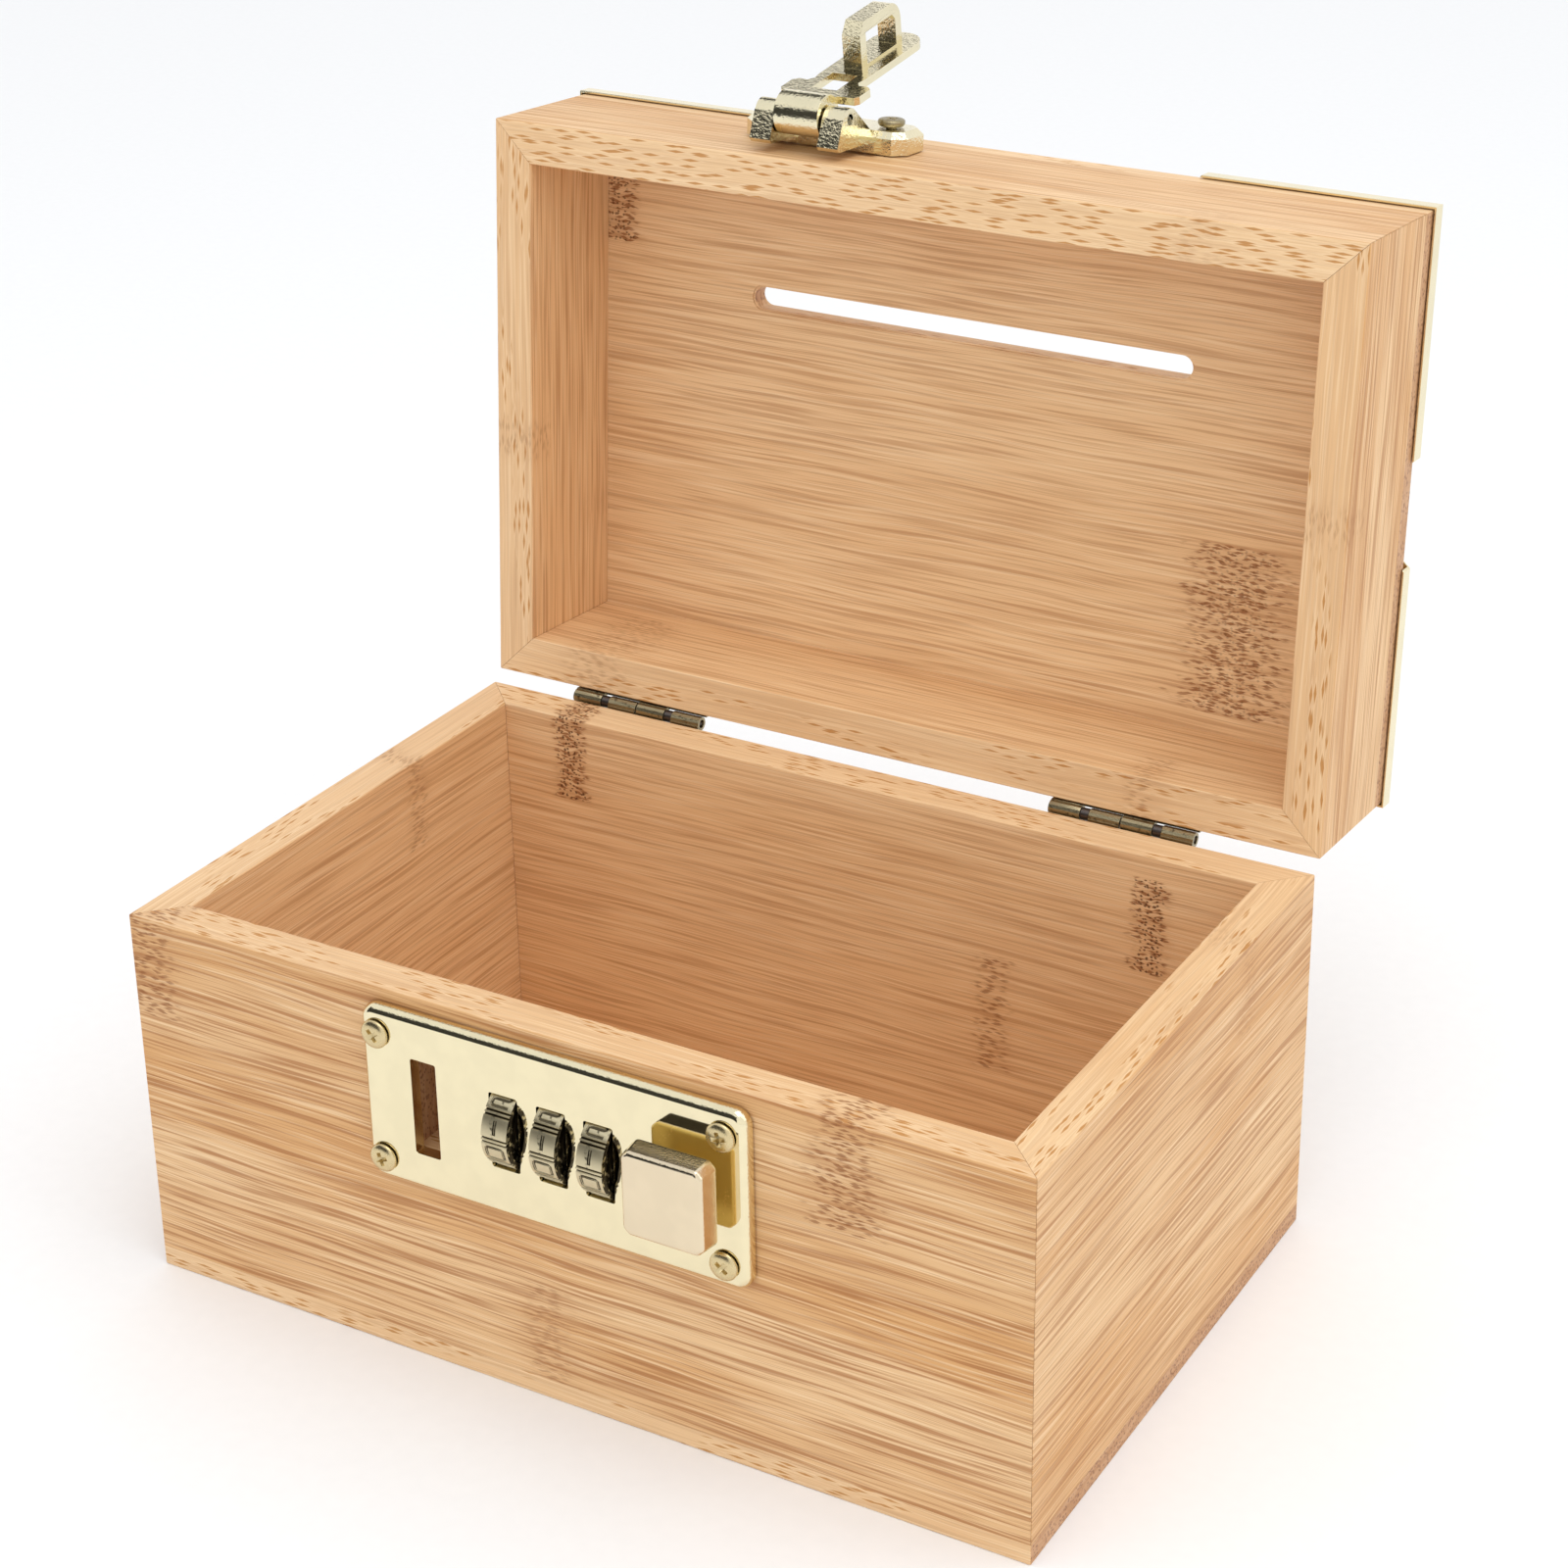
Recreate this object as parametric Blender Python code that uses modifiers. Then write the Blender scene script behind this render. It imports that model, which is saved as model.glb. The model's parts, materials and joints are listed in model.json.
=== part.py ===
"""Bamboo money box: mitred box and lid, two butt hinges, a hasp and a three-wheel combination lock.

Frame: +X to the right, front face towards -Y, +Z up, origin at the centre of the base's underside.
The lid stands open in the rest pose. Sizes below are in millimetres; MM turns them into metres.
"""
import math

import bmesh
import bpy
from mathutils import Vector

MM = 0.001

# Driving dimensions, millimetres
BOX_WIDTH = 200.0
BOX_DEPTH = 126.7
BOX_HEIGHT = 82.1
WALL = 9.0
BASE_THICKNESS = 4.4
LID_HEIGHT = 35.7
TOP_THICKNESS = 4.7
GLUE_LINE = 0.2
TOUCH = 0.3
RIM_GAP = 0.25

# Lid hinge
LID_OPEN = 94.18
HINGE_SETBACK = 2.1
HINGE_CENTRES = (-62.5, 56.4)
HINGE_LENGTH = 33.0
KNUCKLE_RADIUS = 1.6
KNUCKLE_BORE = 0.95
KNUCKLE_LENGTH = 7.2
KNUCKLE_SPACE = 2.1
LEAF_THICKNESS = 0.9
LEAF_REACH = 11.0
LEAF_CLEAR = 1.9
HINGE_PIN_RADIUS = 0.65
HINGE_SCREW_X = 10.0
HINGE_SCREW_REACH = 6.6

# Coin slot in the lid's top board
SLOT_LENGTH = 105.2
SLOT_WIDTH = 5.0
SLOT_Y = -24.4

# Lock plate on the front wall
PLATE_CENTRE = (0.95, 60.5)
PLATE_SIZE = (85.5, 38.0)
PLATE_FACE = 3.0
PLATE_CORNER = 2.6
PLATE_EDGE = 1.0
PLATE_SCREW_OFFSET = (38.3, 13.7)
PLATE_SCREW_CENTRE = (0.3, 60.2)
STAPLE_SLOT = (-30.3, -24.6, 49.7, 70.4)
STAPLE_POCKET = (-31.9, -22.6, 49.2, 71.0)
STAPLE_POCKET_DEPTH = 7.5

# Number wheels and the bolt that runs through them
SPINDLE_Z = 60.25
SPINDLE_DEPTH = 2.4
WHEEL_X = (-9.3, 1.4, 11.85)
WHEEL_RADIUS = 9.0
WHEEL_WIDTH = 5.7
WHEEL_BORE = 4.9
WHEEL_GROOVE = 0.5
DIGITS = 10
WHEEL_SLOT = (6.3, 16.1)
SLEEVE_RADIUS = 4.6
SLEEVE_BORE = 2.3
SLEEVE_LENGTH = 3.7
GATE_HALF_WIDTH = 1.3
GATE_RADIUS = 4.1
BOLT_RADIUS = 1.9
FIN_THICKNESS = 1.2
FIN_HALF_WIDTH = 0.9
FIN_RADIUS = 3.6
LOCK_TRAVEL = 5.5
NOSE = (-25.8, -20.2, 6.4)
NOSE_TIP = 1.6
NOSE_DEPTH = (0.0, 1.4)
CARRIER_DEPTH = (0.5, 5.5)
CARRIER = (22.8, 33.0, 6.6)
SHAFT_END = 23.8

# Knob that slides the bolt
KNOB_X = (21.3, 39.4)
KNOB_Z = (52.1, 70.7)
KNOB_OFF = (5.8, 11.0)
KNOB_CLIP = 2.2
KNOB_EASE = 0.6
NECK = (24.2, 32.8, 6.2)

# Lock case let into the front wall, and its cover
CASE_X = (-18.5, 36.0)
CASE_Z = (49.5, 71.0)
CASE_DEPTH = 12.1
COVER_DEPTH = (12.4, 13.4)
SPRING_DEPTH = (11.7, 12.1)
COVER_SCREWS = ((-15.6, 66.5), (26.0, 53.2))

# Hasp on the lid's front wall
HASP_X = -27.6
HASP_AXIS_OFF = 8.2
HASP_AXIS_RISE = 8.0
HASP_REST = 169.0
HASP_WING = 19.35
HASP_BASE_RISE = (14.4, 26.5)
HASP_BASE_FACE = 5.0
EAR_X = (5.6, 10.5)
BARREL_RADIUS = 4.6
BARREL_HALF = 5.2
HASP_PIN_RADIUS = 1.3
HASP_SCREW = (13.3, 20.8)
BLADE_OFF = (0.9, 2.6)
BLADE_TIP = 44.5
BLADE_HALF = 5.6
STAPLE = (20.6, 38.5, 10.0, 4.4)
EYE = (23.1, 36.0, 0.5, 7.4)

# Corner plates on the lid's top board
CORNER_LEG = (51.5, 53.5)
CORNER_HEIGHT = 2.0
CORNER_WRAP = 1.6
CORNER_SKIN = 0.5

# Derived places
HALF_W = BOX_WIDTH / 2
HALF_D = BOX_DEPTH / 2
LID_RIM = BOX_HEIGHT + RIM_GAP
LID_TOP = LID_RIM + LID_HEIGHT
FRONT = -HALF_D
BACK = HALF_D
HINGE_AXIS = Vector((0.0, BACK + HINGE_SETBACK, LID_RIM))
HASP_AXIS = Vector((HASP_X, FRONT - HASP_AXIS_OFF, LID_RIM + HASP_AXIS_RISE))
SPINDLE_Y = FRONT + SPINDLE_DEPTH
NECK_CENTRE = (NECK[0] + NECK[1]) / 2

FACE_FRONT = (math.radians(90), 0.0, 0.0)
FACE_BACK = (math.radians(-90), 0.0, 0.0)
FACE_UP = (0.0, 0.0, 0.0)
ALONG_X = (0.0, math.radians(90), 0.0)

for old in list(bpy.data.objects):
    bpy.data.objects.remove(old, do_unlink=True)

parts = bpy.data.collections.new("money_box")
cutters = bpy.data.collections.new("cutters")
bpy.context.scene.collection.children.link(parts)
bpy.context.scene.collection.children.link(cutters)


def make_material(name, colour, roughness, metallic):
    material = bpy.data.materials.new(name)
    material.use_nodes = True
    shader = material.node_tree.nodes["Principled BSDF"]
    shader.inputs["Base Color"].default_value = (*colour, 1.0)
    shader.inputs["Roughness"].default_value = roughness
    shader.inputs["Metallic"].default_value = metallic
    return material


BAMBOO = make_material("bamboo", (0.60, 0.37, 0.17), 0.5, 0.0)
GILT = make_material("gilt", (0.90, 0.79, 0.48), 0.12, 1.0)
ANTIQUE = make_material("antique_brass", (0.38, 0.30, 0.16), 0.35, 1.0)
BRONZE = make_material("antique_bronze", (0.26, 0.21, 0.14), 0.4, 1.0)
ZINC = make_material("zinc", (0.62, 0.63, 0.62), 0.35, 1.0)
STEEL = make_material("steel", (0.55, 0.55, 0.56), 0.3, 1.0)


def add_object(name, mesh, material=None):
    """Link a mesh as a visible part, or as a cutter when it has no material."""
    part = bpy.data.objects.new(name, mesh)
    if material is None:
        cutters.objects.link(part)
        part.hide_render = True
        part.display_type = "WIRE"
    else:
        parts.objects.link(part)
        mesh.materials.append(material)
    return part


def place(part, location, rotation=FACE_UP):
    part.location = Vector(location) * MM
    part.rotation_euler = rotation
    return part


def block(name, x, y, z, material=None):
    """A box between two limits on each axis."""
    low = Vector((x[0], y[0], z[0]))
    high = Vector((x[1], y[1], z[1]))
    shape = bmesh.new()
    bmesh.ops.create_cube(shape, size=1.0)
    bmesh.ops.scale(shape, vec=(high - low) * MM, verts=shape.verts)
    mesh = bpy.data.meshes.new(name)
    shape.to_mesh(mesh)
    shape.free()
    return place(add_object(name, mesh, material), (low + high) / 2)


def outline(name, loops, thickness, material=None):
    """A flat outline extruded to a thickness about its own XY plane."""
    curve = bpy.data.curves.new(name, "CURVE")
    curve.dimensions = "2D"
    curve.fill_mode = "BOTH"
    curve.extrude = thickness * MM / 2
    for loop in loops:
        spline = curve.splines.new("POLY")
        spline.points.add(len(loop) - 1)
        for point, (across, up) in zip(spline.points, loop):
            point.co = (across * MM, up * MM, 0.0, 1.0)
        spline.use_cyclic_u = True
    source = bpy.data.objects.new(name, curve)
    parts.objects.link(source)
    graph = bpy.context.evaluated_depsgraph_get()
    mesh = bpy.data.meshes.new_from_object(source.evaluated_get(graph))
    bpy.data.objects.remove(source, do_unlink=True)
    bpy.data.curves.remove(curve)
    shape = bmesh.new()
    shape.from_mesh(mesh)
    bmesh.ops.remove_doubles(shape, verts=shape.verts, dist=0.001 * MM)
    bmesh.ops.recalc_face_normals(shape, faces=shape.faces)
    mesh.clear_geometry()
    shape.to_mesh(mesh)
    shape.free()
    return add_object(name, mesh, material)


def turned(name, profile, segments, material=None):
    """A turned solid about local Z; its profile runs from the top of the axis to the bottom."""
    mesh = bpy.data.meshes.new(name)
    shape = bmesh.new()
    points = [shape.verts.new((radius * MM, 0.0, height * MM)) for radius, height in profile]
    for first, second in zip(points, points[1:]):
        shape.edges.new((first, second))
    shape.to_mesh(mesh)
    shape.free()
    part = add_object(name, mesh, material)
    screw = part.modifiers.new("turn", "SCREW")
    screw.steps = segments
    screw.render_steps = segments
    screw.use_merge_vertices = True
    screw.merge_threshold = 0.001 * MM
    screw.use_smooth_shade = True
    return part


def rod(name, radius, x, centre, segments=16, material=None):
    """A round bar along X, centred on the point (y, z)."""
    half = (x[1] - x[0]) / 2
    profile = [(0.0, half), (radius, half), (radius, -half), (0.0, -half)]
    bar = turned(name, profile, segments, material)
    return place(bar, ((x[0] + x[1]) / 2, centre[0], centre[1]), ALONG_X)


def hole(name, radius, depth, location, rotation, segments=12):
    """A round cutter that reaches depth below the point and stands a little above it."""
    profile = [(0.0, 2.0), (radius, 2.0), (radius, -depth), (0.0, -depth)]
    return place(turned(name, profile, segments), location, rotation)


def combine(part, tool, operation="DIFFERENCE"):
    modifier = part.modifiers.new(operation.lower(), "BOOLEAN")
    modifier.operation = operation
    modifier.solver = "EXACT"
    modifier.object = tool
    return part


def round_edges(part, width, segments, angle=30.0):
    bevel = part.modifiers.new("edges", "BEVEL")
    bevel.width = width * MM
    bevel.segments = segments
    bevel.limit_method = "ANGLE"
    bevel.angle_limit = math.radians(angle)
    return part


def rounded_rectangle(centre, size, radius, steps=3):
    """Corner arcs of a rectangle, counter-clockwise."""
    points = []
    for quarter, (side_x, side_y) in enumerate(((1, 1), (-1, 1), (-1, -1), (1, -1))):
        middle_x = centre[0] + side_x * (size[0] / 2 - radius)
        middle_y = centre[1] + side_y * (size[1] / 2 - radius)
        for step in range(steps + 1):
            angle = math.pi / 2 * (quarter + step / steps)
            points.append((middle_x + radius * math.cos(angle), middle_y + radius * math.sin(angle)))
    return points


def circle(radius, segments):
    angles = [2 * math.pi * step / segments for step in range(segments)]
    return [(radius * math.cos(angle), radius * math.sin(angle)) for angle in angles]


def arc(centre, radius, first, last, steps):
    """Points on an arc, angles in degrees."""
    angles = [math.radians(first + (last - first) * step / steps) for step in range(steps + 1)]
    return [(centre[0] + radius * math.cos(angle), centre[1] + radius * math.sin(angle)) for angle in angles]


lid_pivot = bpy.data.objects.new("lid_pivot", None)
parts.objects.link(lid_pivot)
lid_pivot.location = HINGE_AXIS * MM
lid_pivot.rotation_euler = (math.radians(-LID_OPEN), 0.0, 0.0)

hasp_pivot = bpy.data.objects.new("hasp_pivot", None)
parts.objects.link(hasp_pivot)
hasp_pivot.parent = lid_pivot
hasp_pivot.location = (HASP_AXIS - HINGE_AXIS) * MM
hasp_pivot.rotation_euler = (math.radians(-HASP_REST), 0.0, 0.0)


def on_lid(*pieces):
    """Hang pieces, placed as on the closed box, from the lid's hinge line."""
    for piece in pieces:
        piece.parent = lid_pivot
        piece.location -= HINGE_AXIS * MM


def on_hasp(*pieces):
    """Hang pieces, placed about the hasp's pin as when it is closed, from that pin."""
    for piece in pieces:
        piece.parent = hasp_pivot


def mitred_wall(name, along_x, outer, inner, z):
    """A board with both ends mitred. outer and inner are its faces' distances from the middle."""
    recess = GLUE_LINE / math.sqrt(2)
    if along_x:
        long_half, short_half = HALF_W - recess, HALF_W - WALL - recess
        loop = [(-long_half, outer), (long_half, outer), (short_half, inner), (-short_half, inner)]
    else:
        long_half, short_half = HALF_D - recess, HALF_D - WALL - recess
        loop = [(outer, -long_half), (outer, long_half), (inner, short_half), (inner, -short_half)]
    wall = outline(name, [loop], z[1] - z[0], BAMBOO)
    return place(wall, (0.0, 0.0, (z[0] + z[1]) / 2))


def four_walls(prefix, z):
    return (
        mitred_wall(prefix + "front_wall", True, -HALF_D, -HALF_D + WALL, z),
        mitred_wall(prefix + "back_wall", True, HALF_D, HALF_D - WALL, z),
        mitred_wall(prefix + "left_wall", False, -HALF_W, -HALF_W + WALL, z),
        mitred_wall(prefix + "right_wall", False, HALF_W, HALF_W - WALL, z),
    )


def front_point(x, off, z):
    """A point at a distance off the front face."""
    return (x, FRONT - off, z)


def screw(name, head, shank_radius, length, material, segments=12):
    """A raised-head wood screw, local Z out of the work, seated at Z = 0. head is (radius, height)."""
    radius, height = head
    profile = [(0.0, height), (radius * 0.55, height * 0.86), (radius, height * 0.25), (radius, 0.0),
               (shank_radius, 0.0), (shank_radius, -length * 0.75), (0.0, -length)]
    return turned(name, profile, segments, material)


def make_box():
    walls = four_walls("", (BASE_THICKNESS + GLUE_LINE, BOX_HEIGHT))
    block("bottom_board", (-HALF_W, HALF_W), (-HALF_D, HALF_D), (0.0, BASE_THICKNESS), BAMBOO)
    front, back = walls[0], walls[1]

    pocket = STAPLE_POCKET
    front_slab = (FRONT - 2.0, FRONT + STAPLE_POCKET_DEPTH)
    combine(front, block("cut_staple_pocket", pocket[0:2], front_slab, pocket[2:4]))
    channel_z = (SPINDLE_Z - NOSE[2] / 2 - 0.4, SPINDLE_Z + NOSE[2] / 2 + 0.4)
    channel_x = (pocket[1] - 1.0, CASE_X[0] + 1.0)
    channel_y = (FRONT - 2.0, SPINDLE_Y + BOLT_RADIUS + 0.5)
    combine(front, block("cut_bolt_channel", channel_x, channel_y, channel_z))
    case_x = (CASE_X[0] - TOUCH, CASE_X[1] + TOUCH)
    case_z = (CASE_Z[0] - TOUCH, CASE_Z[1] + TOUCH)
    combine(front, block("cut_case_window", case_x, (FRONT - 2.0, FRONT + WALL + 2.0), case_z))
    for number, (x, z) in enumerate(plate_screw_places(), 1):
        combine(front, hole(f"cut_plate_pilot_{number}", 1.7, 7.4, front_point(x, 0.0, z), FACE_FRONT))
    for number, x in enumerate(hinge_screw_places(), 1):
        place_on_back = (x, BACK, HINGE_AXIS.z - HINGE_SCREW_REACH)
        combine(back, hole(f"cut_hinge_pilot_{number}", 1.1, 6.5, place_on_back, FACE_BACK))


def make_lid():
    walls = four_walls("lid_", (LID_RIM, LID_TOP - TOP_THICKNESS - GLUE_LINE))
    board_z = (LID_TOP - TOP_THICKNESS, LID_TOP)
    board = block("lid_top_board", (-HALF_W, HALF_W), (-HALF_D, HALF_D), board_z, BAMBOO)
    radius = SLOT_WIDTH / 2
    reach = SLOT_LENGTH / 2 - radius
    loop = arc((reach, 0.0), radius, -90, 90, 6) + arc((-reach, 0.0), radius, 90, 270, 6)
    slot = outline("cut_coin_slot", [loop], TOP_THICKNESS * 3)
    place(slot, (0.0, SLOT_Y, LID_TOP - TOP_THICKNESS / 2))
    on_lid(*walls, board, slot)
    combine(board, slot)
    for number, x in enumerate(hinge_screw_places(), 1):
        place_on_back = (x, BACK, HINGE_AXIS.z + HINGE_SCREW_REACH)
        pilot = hole(f"cut_lid_hinge_pilot_{number}", 1.1, 6.5, place_on_back, FACE_BACK)
        on_lid(pilot)
        combine(walls[1], pilot)
    for side in (-1, 1):
        x = HASP_X + side * HASP_SCREW[0]
        mouth = front_point(x, 0.0, LID_RIM + HASP_SCREW[1])
        pilot = hole(f"cut_hasp_pilot_{side + 2}", 1.5, 6.5, mouth, FACE_FRONT)
        on_lid(pilot)
        combine(walls[0], pilot)
    for number, (corner_x, corner_y, x, y) in enumerate(nail_places(), 1):
        pilot = hole(f"cut_nail_{number}", 0.8, 4.0, (x, y, LID_TOP), FACE_UP, 8)
        on_lid(pilot)
        combine(board, pilot)


def hinge_screw_places():
    return [centre + side * HINGE_SCREW_X for centre in HINGE_CENTRES for side in (-1, 1)]


def knuckle_ranges(centre):
    """The four knuckles, with a clear stretch of pin after the first and before the last."""
    left = centre - HINGE_LENGTH / 2
    right = centre + HINGE_LENGTH / 2
    inner = KNUCKLE_LENGTH + KNUCKLE_SPACE
    return [(left, left + KNUCKLE_LENGTH), (left + inner, centre - TOUCH / 2),
            (centre + TOUCH / 2, right - inner), (right - KNUCKLE_LENGTH, right)]


def knuckle(name, x, side):
    """A rolled knuckle and the tab that joins it to its leaf, extruded along X."""
    inner = TOUCH + 0.05 - HINGE_SETBACK
    outer = inner + LEAF_THICKNESS - 0.1
    start = math.degrees(math.asin(outer / KNUCKLE_RADIUS))
    roll = arc((0.0, 0.0), KNUCKLE_RADIUS, start, 270.0, 12)
    reach = LEAF_CLEAR + 0.6
    rim = roll + [(0.0, inner), (reach, inner), (reach, outer)]
    loop = [(-side * rise, y) for rise, y in rim]
    piece = outline(name, [loop, circle(KNUCKLE_BORE, 12)], x[1] - x[0])
    return place(piece, ((x[0] + x[1]) / 2, HINGE_AXIS.y, HINGE_AXIS.z), ALONG_X)


def hinge_leaf(name, centre, ranges, side):
    """One leaf with two knuckles. side is -1 below the axis and +1 above it."""
    half = HINGE_LENGTH / 2
    flat_y = (BACK + TOUCH, BACK + TOUCH + LEAF_THICKNESS)
    flat_z = sorted((HINGE_AXIS.z + side * LEAF_REACH, HINGE_AXIS.z + side * LEAF_CLEAR))
    leaf = block(name, (centre - half - 0.05, centre + half + 0.05), flat_y, flat_z, BRONZE)
    tools = []
    for number, x in enumerate(ranges, 1):
        roll = knuckle(f"join_{name}_knuckle_{number}", x, side)
        combine(leaf, roll, "UNION")
        tools.append(roll)
    for place_x in (centre - HINGE_SCREW_X, centre + HINGE_SCREW_X):
        point = (place_x, flat_y[1], HINGE_AXIS.z + side * HINGE_SCREW_REACH)
        clearance = hole(f"cut_{name}_hole", 1.1, 3.0, point, FACE_BACK)
        combine(leaf, clearance)
        tools.append(clearance)
    if side > 0:
        on_lid(leaf, *tools)


def make_hinges():
    for hand, centre in zip(("left", "right"), HINGE_CENTRES):
        ranges = knuckle_ranges(centre)
        hinge_leaf(f"{hand}_hinge_box_leaf", centre, ranges[1::2], -1)
        hinge_leaf(f"{hand}_hinge_lid_leaf", centre, ranges[0::2], 1)
        half = HINGE_LENGTH / 2 - 0.2
        pin_x = (centre - half, centre + half)
        rod(f"{hand}_hinge_pin", HINGE_PIN_RADIUS, pin_x, (HINGE_AXIS.y, HINGE_AXIS.z), 12, BRONZE)
    seat = BACK + TOUCH + LEAF_THICKNESS + TOUCH
    for number, x in enumerate(hinge_screw_places(), 1):
        lower = screw(f"box_hinge_screw_{number}", (1.8, 0.8), 0.8, 7.0, BRONZE, 10)
        place(lower, (x, seat, HINGE_AXIS.z - HINGE_SCREW_REACH), FACE_BACK)
        upper = screw(f"lid_hinge_screw_{number}", (1.8, 0.8), 0.8, 7.0, BRONZE, 10)
        place(upper, (x, seat, HINGE_AXIS.z + HINGE_SCREW_REACH), FACE_BACK)
        on_lid(upper)


def plate_screw_places():
    (x, z), (off_x, off_z) = PLATE_SCREW_CENTRE, PLATE_SCREW_OFFSET
    return [(x + side * off_x, z + level * off_z)
            for level in (1, -1) for side in (-1, 1)]


def front_cutter(name, x, z, off):
    """A box cutter given by its limits on the front face and its distances off that face."""
    return block(name, x, (FRONT - off[1], FRONT - off[0]), z)


def make_lock_plate():
    loop = rounded_rectangle(PLATE_CENTRE, PLATE_SIZE, PLATE_CORNER)
    plate = outline("lock_plate", [loop], PLATE_FACE - TOUCH, GILT)
    place(plate, (0.0, FRONT - (PLATE_FACE + TOUCH) / 2, 0.0), FACE_FRONT)
    round_edges(plate, PLATE_EDGE, 2, 60.0)
    through = (-1.0, PLATE_FACE + 1.0)
    combine(plate, front_cutter("cut_staple_slot", STAPLE_SLOT[0:2], STAPLE_SLOT[2:4], through))
    for number, x in enumerate(WHEEL_X, 1):
        span_x = (x - WHEEL_SLOT[0] / 2, x + WHEEL_SLOT[0] / 2)
        span_z = (SPINDLE_Z - WHEEL_SLOT[1] / 2, SPINDLE_Z + WHEEL_SLOT[1] / 2)
        combine(plate, front_cutter(f"cut_wheel_slot_{number}", span_x, span_z, through))
        relief_x = (span_x[0] + 0.05, span_x[1] - 0.05)
        axis = (SPINDLE_Y, SPINDLE_Z)
        relief = rod(f"cut_wheel_relief_{number}", WHEEL_RADIUS + TOUCH, relief_x, axis, 36)
        combine(plate, relief)
    neck_x = (NECK[0] - LOCK_TRAVEL - TOUCH, NECK[1] + TOUCH)
    neck_z = (SPINDLE_Z - NECK[2] / 2 - TOUCH, SPINDLE_Z + NECK[2] / 2 + TOUCH)
    combine(plate, front_cutter("cut_neck_slot", neck_x, neck_z, through))
    for number, (x, z) in enumerate(plate_screw_places(), 1):
        combine(plate, hole(f"cut_plate_hole_{number}", 1.9, 6.0, front_point(x, PLATE_FACE, z), FACE_FRONT))
        fixing = screw(f"plate_screw_{number}", (3.0, 1.3), 1.4, 9.5, GILT)
        place(fixing, front_point(x, PLATE_FACE + TOUCH, z), FACE_FRONT)


def digit_ring():
    """Rim of a number wheel: ten lands with a shallow groove between neighbours."""
    points = []
    for digit in range(DIGITS):
        middle = 2 * math.pi * digit / DIGITS
        for offset, drop in ((-15.0, WHEEL_GROOVE), (-13.0, 0.0), (-4.5, 0.0), (4.5, 0.0), (13.0, 0.0),
                             (15.0, WHEEL_GROOVE)):
            angle = middle + math.radians(offset)
            radius = WHEEL_RADIUS - drop
            points.append((radius * math.cos(angle), radius * math.sin(angle)))
    return points


def make_wheels():
    for number, x in enumerate(WHEEL_X, 1):
        loops = [digit_ring(), circle(WHEEL_BORE, 20)]
        wheel = outline(f"number_wheel_{number}", loops, WHEEL_WIDTH, ANTIQUE)
        place(wheel, (x, SPINDLE_Y, SPINDLE_Z), ALONG_X)
        gate = math.asin(GATE_HALF_WIDTH / SLEEVE_BORE)
        bore = arc((0.0, 0.0), SLEEVE_BORE, 90 + math.degrees(gate), 450 - math.degrees(gate), 14)
        bore += [(GATE_HALF_WIDTH, GATE_RADIUS), (-GATE_HALF_WIDTH, GATE_RADIUS)]
        sleeve = outline(f"code_sleeve_{number}", [circle(SLEEVE_RADIUS, 20), bore], SLEEVE_LENGTH, ZINC)
        place(sleeve, (x, SPINDLE_Y, SPINDLE_Z), ALONG_X)


def make_bolt():
    """Round bolt with a flat nose, a fin beside each wheel and a carrier block under the knob."""
    centre = (SPINDLE_Y, SPINDLE_Z)
    bolt = rod("lock_bolt", BOLT_RADIUS, (NOSE[0] + 2.0, SHAFT_END), centre, 16, ZINC)
    half = NOSE[2] / 2
    round_end = [(NOSE[0] + NOSE_TIP + x * NOSE_TIP / half, z) for x, z in arc((0.0, 0.0), half, 90, 270, 8)]
    nose_loop = [(NOSE[1], -half), (NOSE[1], half)] + round_end
    nose = outline("join_bolt_nose", [nose_loop], NOSE_DEPTH[1] - NOSE_DEPTH[0])
    place(nose, (0.0, FRONT + (NOSE_DEPTH[0] + NOSE_DEPTH[1]) / 2, SPINDLE_Z), FACE_FRONT)
    combine(bolt, nose, "UNION")
    for number, x in enumerate(WHEEL_X, 1):
        middle = x + LOCK_TRAVEL / 2
        fin_x = (middle - FIN_THICKNESS / 2, middle + FIN_THICKNESS / 2)
        fin_z = (SPINDLE_Z - FIN_HALF_WIDTH, SPINDLE_Z + FIN_HALF_WIDTH)
        fin = block(f"join_bolt_fin_{number}", fin_x, (SPINDLE_Y + 0.5, SPINDLE_Y + FIN_RADIUS), fin_z)
        combine(bolt, fin, "UNION")
    carrier_z = (SPINDLE_Z - CARRIER[2] / 2, SPINDLE_Z + CARRIER[2] / 2)
    carrier_y = (FRONT + CARRIER_DEPTH[0], FRONT + CARRIER_DEPTH[1])
    carrier = block("join_bolt_carrier", CARRIER[0:2], carrier_y, carrier_z)
    combine(bolt, carrier, "UNION")
    combine(bolt, hole("cut_bolt_screw_hole", 1.5, 8.0, (NECK_CENTRE, carrier_y[1], SPINDLE_Z), FACE_BACK))


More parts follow.
